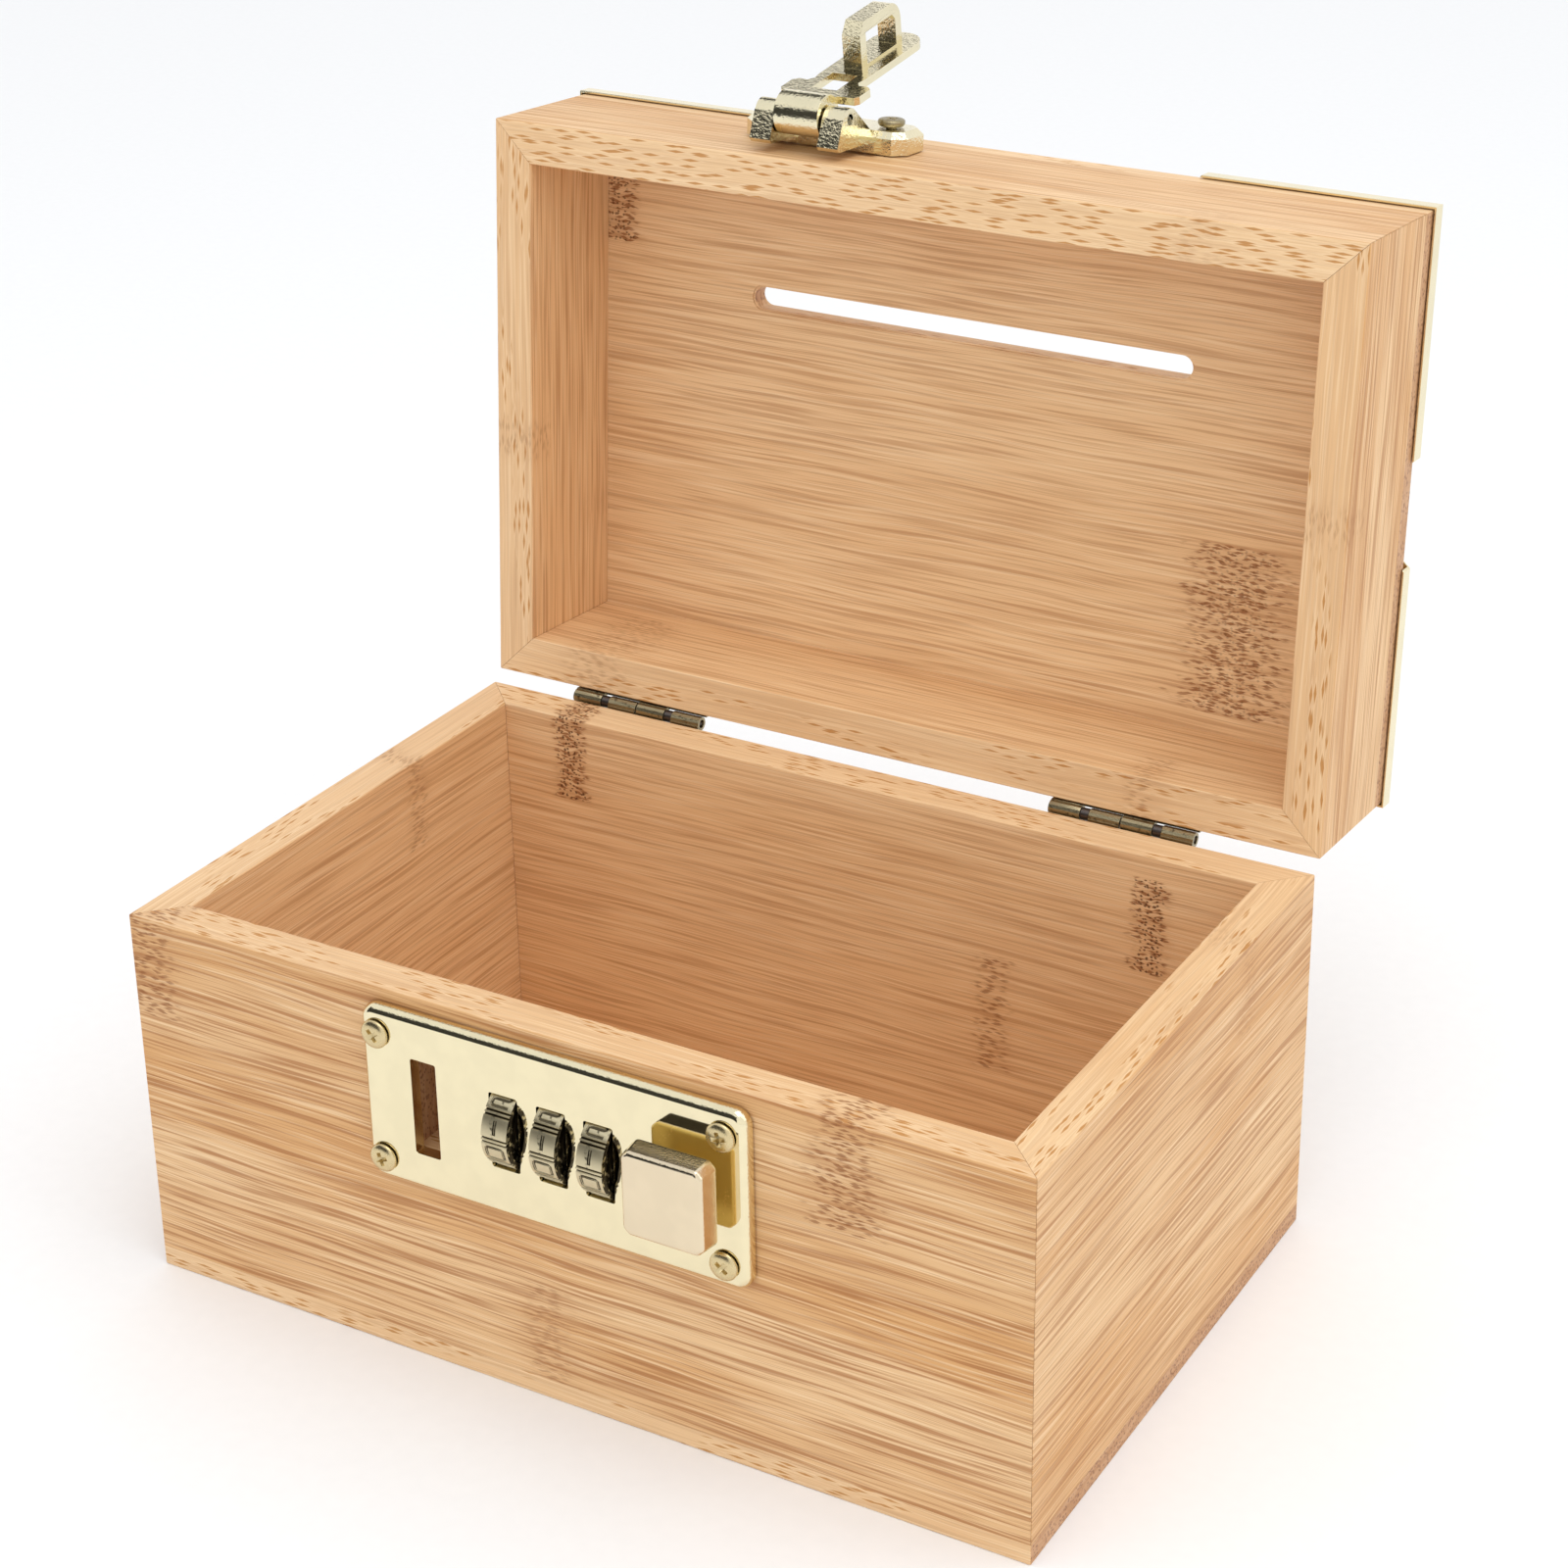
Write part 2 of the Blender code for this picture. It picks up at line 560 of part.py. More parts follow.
def make_knob():
    """Square knob with clipped corners on a neck that passes through the plate, screwed to the bolt."""
    middle = ((KNOB_X[0] + KNOB_X[1]) / 2, (KNOB_Z[0] + KNOB_Z[1]) / 2)
    size = (KNOB_X[1] - KNOB_X[0], KNOB_Z[1] - KNOB_Z[0])
    loop = rounded_rectangle(middle, size, KNOB_CLIP, 1)
    knob = outline("lock_knob", [loop], KNOB_OFF[1] - KNOB_OFF[0], GILT)
    place(knob, (0.0, FRONT - (KNOB_OFF[0] + KNOB_OFF[1]) / 2, 0.0), FACE_FRONT)
    round_edges(knob, KNOB_EASE, 1, 60.0)
    neck_z = (SPINDLE_Z - NECK[2] / 2, SPINDLE_Z + NECK[2] / 2)
    neck = block("join_knob_neck", NECK[0:2], (FRONT - KNOB_OFF[0] - 1.0, FRONT + 0.2), neck_z)
    combine(knob, neck, "UNION")
    combine(knob, hole("cut_knob_thread", 1.5, 7.0, (NECK_CENTRE, FRONT + 0.2, SPINDLE_Z), FACE_BACK))
    fixing = screw("knob_screw", (2.4, 1.4), 1.2, 11.0, STEEL)
    place(fixing, (NECK_CENTRE, FRONT + CARRIER_DEPTH[1] + TOUCH, SPINDLE_Z), FACE_BACK)


def make_lock_case():
    case = block("lock_case", CASE_X, (FRONT, FRONT + CASE_DEPTH), CASE_Z, ZINC)
    for number, x in enumerate(WHEEL_X, 1):
        span_x = (x - WHEEL_SLOT[0] / 2, x + WHEEL_SLOT[0] / 2)
        span_z = (SPINDLE_Z - WHEEL_RADIUS - 0.4, SPINDLE_Z + WHEEL_RADIUS + 0.4)
        combine(case, front_cutter(f"cut_case_wheel_{number}", span_x, span_z, (-CASE_DEPTH - 1.0, 1.0)))
    half = BOLT_RADIUS + 0.5
    bolt_x, bolt_z = (CASE_X[0] - 1.0, CARRIER[0]), (SPINDLE_Z - half, SPINDLE_Z + half)
    combine(case, front_cutter("cut_case_bolt", bolt_x, bolt_z, (-6.6, 1.1)))
    half = CARRIER[2] / 2 + 0.4
    pocket_x = (CARRIER[0] - LOCK_TRAVEL - 0.5, CARRIER[1] + 0.5)
    pocket_z = (SPINDLE_Z - half, SPINDLE_Z + half)
    combine(case, front_cutter("cut_case_carrier", pocket_x, pocket_z, (-7.8, 1.2)))
    spring_x = (-17.0, 17.5)
    spring_seat = (-CASE_DEPTH - 1.2, -SPRING_DEPTH[0] + 0.25)
    combine(case, front_cutter("cut_case_spring", spring_x, (56.2, 64.3), spring_seat))

    tongues = [(-16.5, 57.0), (17.0, 57.0), (17.0, 58.4)]
    for x in reversed(WHEEL_X):
        tongues += [(x + 1.5, 58.4), (x + 1.5, 63.6), (x - 1.5, 63.6), (x - 1.5, 58.4)]
    tongues.append((-16.5, 58.4))
    spring = outline("detent_spring", [tongues], SPRING_DEPTH[1] - SPRING_DEPTH[0], STEEL)
    place(spring, (0.0, FRONT + (SPRING_DEPTH[0] + SPRING_DEPTH[1]) / 2, 0.0), FACE_FRONT)

    cover = block("back_cover", CASE_X, (FRONT + COVER_DEPTH[0], FRONT + COVER_DEPTH[1]), CASE_Z, ZINC)
    for number, (x, z) in enumerate(COVER_SCREWS, 1):
        combine(case, hole(f"cut_case_screw_{number}", 1.1, 5.0, (x, FRONT + CASE_DEPTH, z), FACE_BACK, 8))
        seat = (x, FRONT + COVER_DEPTH[1], z)
        combine(cover, hole(f"cut_cover_screw_{number}", 1.1, 3.0, seat, FACE_BACK, 8))
        fixing = screw(f"cover_screw_{number}", (1.9, 0.9), 0.8, 5.5, STEEL, 10)
        place(fixing, (x, FRONT + COVER_DEPTH[1] + TOUCH, z), FACE_BACK)


def edge_on(points):
    """Turn (rise, off) pairs into the outline plane of a piece that is extruded along X."""
    return [(-rise, -off) for rise, off in points]


def make_hasp_base():
    rise = HASP_BASE_RISE
    middle_rise = LID_RIM + (rise[0] + rise[1]) / 2
    depth = rise[1] - rise[0]
    loop = rounded_rectangle((HASP_X, middle_rise), (HASP_WING * 2, depth), 2.4, 1)
    base = outline("hasp_base", [loop], HASP_BASE_FACE - TOUCH, GILT)
    place(base, (0.0, FRONT - (HASP_BASE_FACE + TOUCH) / 2, 0.0), FACE_FRONT)
    round_edges(base, 0.8, 1, 60.0)
    axis = (HASP_AXIS_RISE, HASP_AXIS_OFF)
    ear_loop = [(rise[0] + 4.0, 0.8), (rise[0] - 0.6, 0.8), (rise[0] - 0.6, 2.0)]
    ear_loop += [(3.6, 2.0), (2.9, 2.8), (4.9, 8.4)]
    ear_loop += arc((axis[0], 7.6), 3.0, 155, 55, 5)
    ear_loop += [(rise[0] + 2.6, HASP_BASE_FACE - 0.4), (rise[0] + 4.0, HASP_BASE_FACE - 0.4)]
    tools = []
    for side, name in ((-1, "left"), (1, "right")):
        ear = outline(f"join_{name}_ear", [edge_on(ear_loop)], EAR_X[1] - EAR_X[0])
        place(ear, (HASP_X + side * (EAR_X[0] + EAR_X[1]) / 2, FRONT, LID_RIM), ALONG_X)
        combine(base, ear, "UNION")
        tools.append(ear)
        x = HASP_X + side * HASP_SCREW[0]
        mouth = front_point(x, HASP_BASE_FACE, LID_RIM + HASP_SCREW[1])
        clearance = hole(f"cut_{name}_hasp_hole", 1.5, 8.0, mouth, FACE_FRONT)
        combine(base, clearance)
        tools.append(clearance)
        fixing = screw(f"{name}_hasp_screw", (2.9, 1.9), 1.2, 10.5, BRONZE)
        place(fixing, front_point(x, HASP_BASE_FACE + TOUCH, LID_RIM + HASP_SCREW[1]), FACE_FRONT)
        on_lid(fixing)
    axis_yz = (HASP_AXIS.y, HASP_AXIS.z)
    pin_hole = rod("cut_ear_holes", HASP_PIN_RADIUS + TOUCH, (HASP_X - 14, HASP_X + 14), axis_yz)
    combine(base, pin_hole)
    pin = rod("hasp_pin", HASP_PIN_RADIUS, (HASP_X - EAR_X[1], HASP_X + EAR_X[1]), axis_yz, 16, BRONZE)
    on_lid(base, pin_hole, pin, *tools)


def make_hasp_leaf():
    """Flat blade with side wings, a window beside the barrel, a tab and a staple with an eye."""
    half = BLADE_HALF
    right = [(4.4, 2.2), (4.8, 5.0), (8.7, 5.2), (9.4, 6.3), (9.4, 10.9), (8.2, 12.1), (half + 0.6, 11.9),
             (half - 0.4, 13.4), (half, 15.6), (half, 39.0)]
    right += [(half * math.cos(math.radians(a)), 39.0 + (BLADE_TIP - 39.0) * math.sin(math.radians(a)))
              for a in (25, 50, 72)]
    loop = [(x, -reach) for x, reach in right] + [(-x, -reach) for x, reach in reversed(right)]
    window = [(-3.0, -17.2), (3.0, -17.2), (3.0, -8.1), (-3.0, -8.1)]
    leaf = outline("hasp_leaf", [loop, window], BLADE_OFF[1] - BLADE_OFF[0], GILT)
    place(leaf, (0.0, (BLADE_OFF[0] + BLADE_OFF[1]) / 2, 0.0), FACE_FRONT)
    barrel = rod("join_hasp_barrel", BARREL_RADIUS, (-BARREL_HALF, BARREL_HALF), (0.0, 0.0), 24)
    combine(leaf, barrel, "UNION")
    first, last, height, width = STAPLE
    foot = BLADE_OFF[1] - 0.6
    top = BLADE_OFF[1] + height
    near = [(first, foot), (first, top - 2.8), (first + 2.0, top)]
    far = arc((last - 4.5, top - 4.5), 4.5, 90, 0, 6) + [(last, foot)]
    staple_loop = [(-reach, -depth) for reach, depth in near + far]
    eye_low, eye_high = BLADE_OFF[1] + EYE[2], BLADE_OFF[1] + EYE[3]
    eye_loop = [(-EYE[0], -eye_low), (-EYE[1], -eye_low), (-EYE[1], 1.2 - eye_high)]
    eye_loop += [(1.2 - EYE[1], -eye_high), (-EYE[0], -eye_high)]
    staple = outline("join_staple", [edge_on(staple_loop), edge_on(eye_loop)], width)
    place(staple, (0.0, 0.0, 0.0), ALONG_X)
    combine(leaf, staple, "UNION")
    bore = rod("cut_barrel_bore", HASP_PIN_RADIUS + TOUCH, (-BARREL_HALF - 1, BARREL_HALF + 1), (0.0, 0.0))
    combine(leaf, bore)
    on_hasp(leaf, barrel, staple, bore)


def nail_places():
    """Two nails in each corner plate: its corner's signs, then the nail's place."""
    for corner_x in (-1, 1):
        for corner_y in (-1, 1):
            for along_x, along_y in ((38.0, 5.0), (5.0, 40.0)):
                yield corner_x, corner_y, corner_x * (HALF_W - along_x), corner_y * (HALF_D - along_y)


def make_corner_plates():
    """Stamped corner plates: two tapering legs, a hollowed long side and a lip over each board edge."""
    reach = CORNER_SKIN + TOUCH
    names = {(-1, -1): "front_left", (1, -1): "front_right", (-1, 1): "back_left", (1, 1): "back_right"}
    for (side_x, side_y), name in names.items():
        hollow = arc((CORNER_LEG[0] * 0.95, CORNER_LEG[1] * 0.95), CORNER_LEG[0] * 0.80, 262, 188, 8)
        leg = CORNER_LEG[0]
        loop = [(-reach, -reach), (leg - 2.0, -reach), (leg, 1.5), (leg - 4.0, 6.0)]
        loop += hollow
        loop += [(6.0, CORNER_LEG[1] - 4.0), (1.5, CORNER_LEG[1]), (-reach, CORNER_LEG[1] - 2.0)]
        turned_loop = [(side_x * (HALF_W - x), side_y * (HALF_D - y)) for x, y in loop]
        z = (LID_TOP - CORNER_WRAP, LID_TOP + CORNER_HEIGHT)
        plate = outline(f"{name}_corner_plate", [turned_loop], z[1] - z[0], GILT)
        place(plate, (0.0, 0.0, (z[0] + z[1]) / 2))
        inside_x, inside_y = (-HALF_W - TOUCH, HALF_W + TOUCH), (-HALF_D - TOUCH, HALF_D + TOUCH)
        inside_z = (z[0] - 1.0, LID_TOP + CORNER_HEIGHT - CORNER_SKIN)
        inside = block(f"cut_{name}_corner", inside_x, inside_y, inside_z)
        combine(plate, inside)
        tools = [plate, inside]
        for number, (corner_x, corner_y, x, y) in enumerate(nail_places(), 1):
            if (corner_x, corner_y) == (side_x, side_y):
                clearance = hole(f"cut_{name}_nail_{number}", 0.9, 4.0, (x, y, z[1]), FACE_UP, 8)
                combine(plate, clearance)
                tools.append(clearance)
        on_lid(*tools)
    for number, (corner_x, corner_y, x, y) in enumerate(nail_places(), 1):
        nail = screw(f"corner_nail_{number}", (1.3, 0.7), 0.5, 5.5, GILT, 8)
        place(nail, (x, y, LID_TOP + CORNER_HEIGHT + TOUCH))
        on_lid(nail)


make_box()
make_lid()
make_hinges()
make_lock_plate()
make_wheels()
make_bolt()
make_knob()
make_lock_case()
make_hasp_base()
make_hasp_leaf()
make_corner_plates()
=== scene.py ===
"""Looks of a bamboo money box with butt hinges, a gilt hasp and a three-wheel combination lock.

Every piece is shaped as on the shut box, in millimetres, and is then hung at the place where the
open lid or the thrown-back hasp carries it.
"""
import json
import math

import bmesh
import bpy
from mathutils import Matrix, Vector

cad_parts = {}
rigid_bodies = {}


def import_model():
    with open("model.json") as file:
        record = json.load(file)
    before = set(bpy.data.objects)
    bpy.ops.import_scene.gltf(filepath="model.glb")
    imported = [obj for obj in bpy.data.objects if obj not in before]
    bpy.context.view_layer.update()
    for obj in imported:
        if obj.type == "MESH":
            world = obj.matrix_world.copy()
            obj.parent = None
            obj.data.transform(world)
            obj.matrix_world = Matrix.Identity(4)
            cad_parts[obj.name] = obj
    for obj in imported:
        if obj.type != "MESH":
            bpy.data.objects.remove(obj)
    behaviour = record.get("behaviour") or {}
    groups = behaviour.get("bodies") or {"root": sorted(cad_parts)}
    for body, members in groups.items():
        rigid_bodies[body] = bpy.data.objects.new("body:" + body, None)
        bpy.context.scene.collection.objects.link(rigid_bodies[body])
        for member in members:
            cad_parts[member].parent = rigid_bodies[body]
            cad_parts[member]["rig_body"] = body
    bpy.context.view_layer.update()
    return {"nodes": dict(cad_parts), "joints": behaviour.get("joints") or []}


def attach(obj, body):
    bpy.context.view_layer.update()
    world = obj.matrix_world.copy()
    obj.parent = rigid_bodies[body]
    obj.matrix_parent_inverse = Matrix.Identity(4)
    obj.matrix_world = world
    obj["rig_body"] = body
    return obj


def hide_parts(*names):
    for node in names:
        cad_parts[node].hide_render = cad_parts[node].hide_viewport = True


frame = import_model()

# ---------------------------------------------------------------------------------------------
# Box walls. Four strips of pressed bamboo, planed to 9 mm, mitred at the corners and glued.
# The front wall is milled for the lock: a pocket behind the staple slot, a window for the case.
# ---------------------------------------------------------------------------------------------
MM = 0.001
WALL = 9.0
EASE = 0.32
JOINT_LINE = 0.05
MERGE = 0.001
joints = {joint["name"]: joint for joint in frame["joints"]}


def swing(joint_name, degrees):
    """Turn about a joint's axis as it lies on the shut box."""
    pivot = Matrix.Translation(Vector(joints[joint_name]["pos_m"]))
    return pivot @ Matrix.Rotation(math.radians(degrees), 4, "X") @ pivot.inverted()


LID_ANGLE = joints["lid_hinge"]["range_deg"][1]
HASP_ANGLE = joints["hasp_hinge"]["range_deg"][1]
lid_open = swing("lid_hinge", -LID_ANGLE)
hasp_pin = Vector(joints["hasp_hinge"]["pos_m"])
hasp_turn = Matrix.Rotation(math.radians(-LID_ANGLE - HASP_ANGLE), 4, "X")
hasp_thrown = Matrix.Translation(hasp_pin) @ hasp_turn
OPEN = {"lid": lid_open, "hasp_leaf": hasp_thrown}


def hang(piece, body, *nodes, place=(0.0, 0.0, 0.0)):
    """Hang a piece on its body, in the place of the plain solids that it stands for."""
    piece.matrix_world = OPEN.get(body, Matrix.Identity(4)) @ Matrix.Translation(Vector(place) * MM)
    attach(piece, body)
    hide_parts(*nodes)
    return piece


def shut_span(node):
    """Lowest and highest corner, in millimetres, of a plain solid as it lies on the shut box."""
    solid = frame["nodes"][node]
    body = solid["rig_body"]
    back = lid_open.inverted() if body == "lid" else Matrix.Identity(4)
    corners = [back @ vertex.co / MM for vertex in solid.data.vertices]
    low = Vector(min(corner[axis] for corner in corners) for axis in range(3))
    high = Vector(max(corner[axis] for corner in corners) for axis in range(3))
    return low, high


def new_piece(name, shape):
    mesh = bpy.data.meshes.new(name)
    shape.to_mesh(mesh)
    shape.free()
    piece = bpy.data.objects.new(name, mesh)
    bpy.context.scene.collection.objects.link(piece)
    return piece


def block(name, x, y, z):
    """A box between two limits on each axis."""
    low, high = Vector((x[0], y[0], z[0])), Vector((x[1], y[1], z[1]))
    shape = bmesh.new()
    bmesh.ops.create_cube(shape, size=1.0)
    bmesh.ops.scale(shape, vec=(high - low) * MM, verts=shape.verts)
    bmesh.ops.translate(shape, vec=(low + high) / 2 * MM, verts=shape.verts)
    return new_piece(name, shape)


TURN = {"Z": Matrix.Identity(4), "X": Matrix.Rotation(math.radians(90), 4, "Y"),
        "-Y": Matrix.Rotation(math.radians(90), 4, "X"), "Y": Matrix.Rotation(math.radians(-90), 4, "X")}


def outline(name, loops, thickness, facing="Z", centre=(0.0, 0.0, 0.0)):
    """A flat outline extruded to a thickness, turned to face an axis, about its centre."""
    curve = bpy.data.curves.new(name, "CURVE")
    curve.dimensions = "2D"
    curve.fill_mode = "BOTH"
    curve.extrude = thickness * MM / 2
    for loop in loops:
        spline = curve.splines.new("POLY")
        spline.points.add(len(loop) - 1)
        for point, (across, up) in zip(spline.points, loop):
            point.co = (across * MM, up * MM, 0.0, 1.0)
        spline.use_cyclic_u = True
    source = bpy.data.objects.new(name, curve)
    bpy.context.scene.collection.objects.link(source)
    graph = bpy.context.evaluated_depsgraph_get()
    mesh = bpy.data.meshes.new_from_object(source.evaluated_get(graph))
    bpy.data.objects.remove(source)
    shape = bmesh.new()
    shape.from_mesh(mesh)
    bpy.data.meshes.remove(mesh)
    bmesh.ops.remove_doubles(shape, verts=shape.verts, dist=MERGE * MM)
    bmesh.ops.recalc_face_normals(shape, faces=shape.faces)
    placing = Matrix.Translation(Vector(centre) * MM) @ TURN[facing]
    bmesh.ops.transform(shape, matrix=placing, verts=shape.verts)
    return new_piece(name, shape)


def settle(piece):
    """Make a piece's modifiers part of its mesh."""
    graph = bpy.context.evaluated_depsgraph_get()
    mesh = bpy.data.meshes.new_from_object(piece.evaluated_get(graph))
    piece.modifiers.clear()
    piece.data = mesh
    return piece


def work(piece, operation, *tools):
    """Cut, join or trim a piece with tools, which are used up."""
    for tool in tools:
        modifier = piece.modifiers.new("work", "BOOLEAN")
        modifier.operation = operation
        modifier.solver = "EXACT"
        modifier.object = tool
    settle(piece)
    for tool in tools:
        bpy.data.objects.remove(tool)
    return piece


def ease(piece, width, segments=3, angle=30.0):
    """Round every edge sharper than an angle."""
    bevel = piece.modifiers.new("eased", "BEVEL")
    bevel.width = width * MM
    bevel.segments = segments
    bevel.limit_method = "ANGLE"
    bevel.angle_limit = math.radians(angle)
    return settle(piece)


def soften(piece, angle=32.0):
    """Smooth shading that keeps flat faces flat and sharp edges sharp."""
    piece.data.shade_smooth()
    piece.data.set_sharp_from_angle(angle=math.radians(angle))
    shading = piece.modifiers.new("flat_faces", "WEIGHTED_NORMAL")
    shading.weight = 100
    shading.keep_sharp = True
    return piece


class Wire:
    """A shader socket that works in sums; each operation adds its Math node."""

    def __init__(self, tree, socket=None):
        self.tree = tree
        self.socket = socket

    def node(self, kind, settings=None, values=None, output=0):
        """Add any node: its type, its settings, then the values or links of its sockets."""
        made = self.tree.nodes.new("ShaderNode" + kind)
        for name, value in (settings or {}).items():
            setattr(made, name, value)
        for name, value in (values or {}).items():
            if isinstance(value, Wire):
                self.tree.links.new(value.socket, made.inputs[name])
            else:
                made.inputs[name].default_value = value
        return Wire(self.tree, made.outputs[output])

    def math(self, operation, first, second=0.0):
        return self.node("Math", {"operation": operation}, {0: first, 1: second})

    def __add__(self, other):
        return self.math("ADD", self, other)

    def __sub__(self, other):
        return self.math("SUBTRACT", self, other)

    def __rsub__(self, other):
        return self.math("SUBTRACT", other, self)

    def __mul__(self, other):
        return self.math("MULTIPLY", self, other)

    def __truediv__(self, other):
        return self.math("DIVIDE", self, other)

    __radd__ = __add__
    __rmul__ = __mul__

    def size(self):
        return self.math("ABSOLUTE", self)

    def most(self, other):
        return self.math("MAXIMUM", self, other)

    def ramp(self, low, high):
        """0 at low, 1 at high, smooth between; low may be above high."""
        smooth = {"interpolation_type": "SMOOTHSTEP"}
        return self.node("MapRange", smooth, {0: self, 1: low, 2: high})

    def blend(self, first, second):
        """Colour or mask: first where this is 0, second where it is 1."""
        return self.node("Mix", {"data_type": "RGBA"}, {0: self, 6: first, 7: second}, 2)

    def along(self, direction):
        """This position's distance along a direction, in millimetres."""
        reach = self.node("VectorMath", {"operation": "DOT_PRODUCT"}, {0: self, 1: tuple(direction)}, 1)
        return reach * (1.0 / MM)

    def facing(self, direction):
        """1 on faces that look along a direction, either way."""
        look = self.node("VectorMath", {"operation": "DOT_PRODUCT"}, {0: self, 1: tuple(direction)}, 1)
        return look.size().ramp(0.75, 0.92)

    def noise(self, detail=2.0, roughness=0.5):
        values = {"Vector": self, "Scale": 1.0, "Detail": detail, "Roughness": roughness}
        return self.node("TexNoise", None, values)

    def vector(self, x, y, z):
        return self.node("CombineXYZ", None, {0: x, 1: y, 2: z})


def new_material(name, **fixed):
    """A Principled material with its fixed values set, and the wire that nodes are added through."""
    material = bpy.data.materials.new(name)
    material.use_nodes = True
    shader = material.node_tree.nodes["Principled BSDF"]
    for socket, value in fixed.items():
        shader.inputs[socket.replace("_", " ")].default_value = value
    return material, Wire(material.node_tree)


def feed(material, colour, roughness, height=None, depth=0.02, strength=1.0):
    """Link what varies over the surface. depth is the relief in millimetres."""
    wire = Wire(material.node_tree)
    links = material.node_tree.links
    shader = material.node_tree.nodes["Principled BSDF"]
    links.new(colour.socket, shader.inputs["Base Color"])
    links.new(roughness.socket, shader.inputs["Roughness"])
    if height is not None:
        bump = wire.node("Bump", None, {"Height": height, "Distance": depth * MM, "Strength": strength})
        links.new(bump.socket, shader.inputs["Normal"])
    return material


PALE = (0.790, 0.520, 0.275, 1.0)
HONEY = (0.680, 0.385, 0.165, 1.0)
AMBER = (0.640, 0.300, 0.080, 1.0)
CREAM = (0.900, 0.660, 0.400, 1.0)
BARE = (0.850, 0.570, 0.310, 1.0)
FIBRE = (0.390, 0.155, 0.045, 1.0)
GOLDEN = (0.500, 0.215, 0.045, 1.0)
DASH = (0.270, 0.095, 0.026, 1.0)
SCAR = (0.110, 0.042, 0.014, 1.0)
END_PALE = (0.60, 0.35, 0.19, 1.0)
END_DARK = (0.50, 0.26, 0.12, 1.0)
END_BUNDLE = (0.24, 0.098, 0.045, 1.0)
STRIP = 20.4


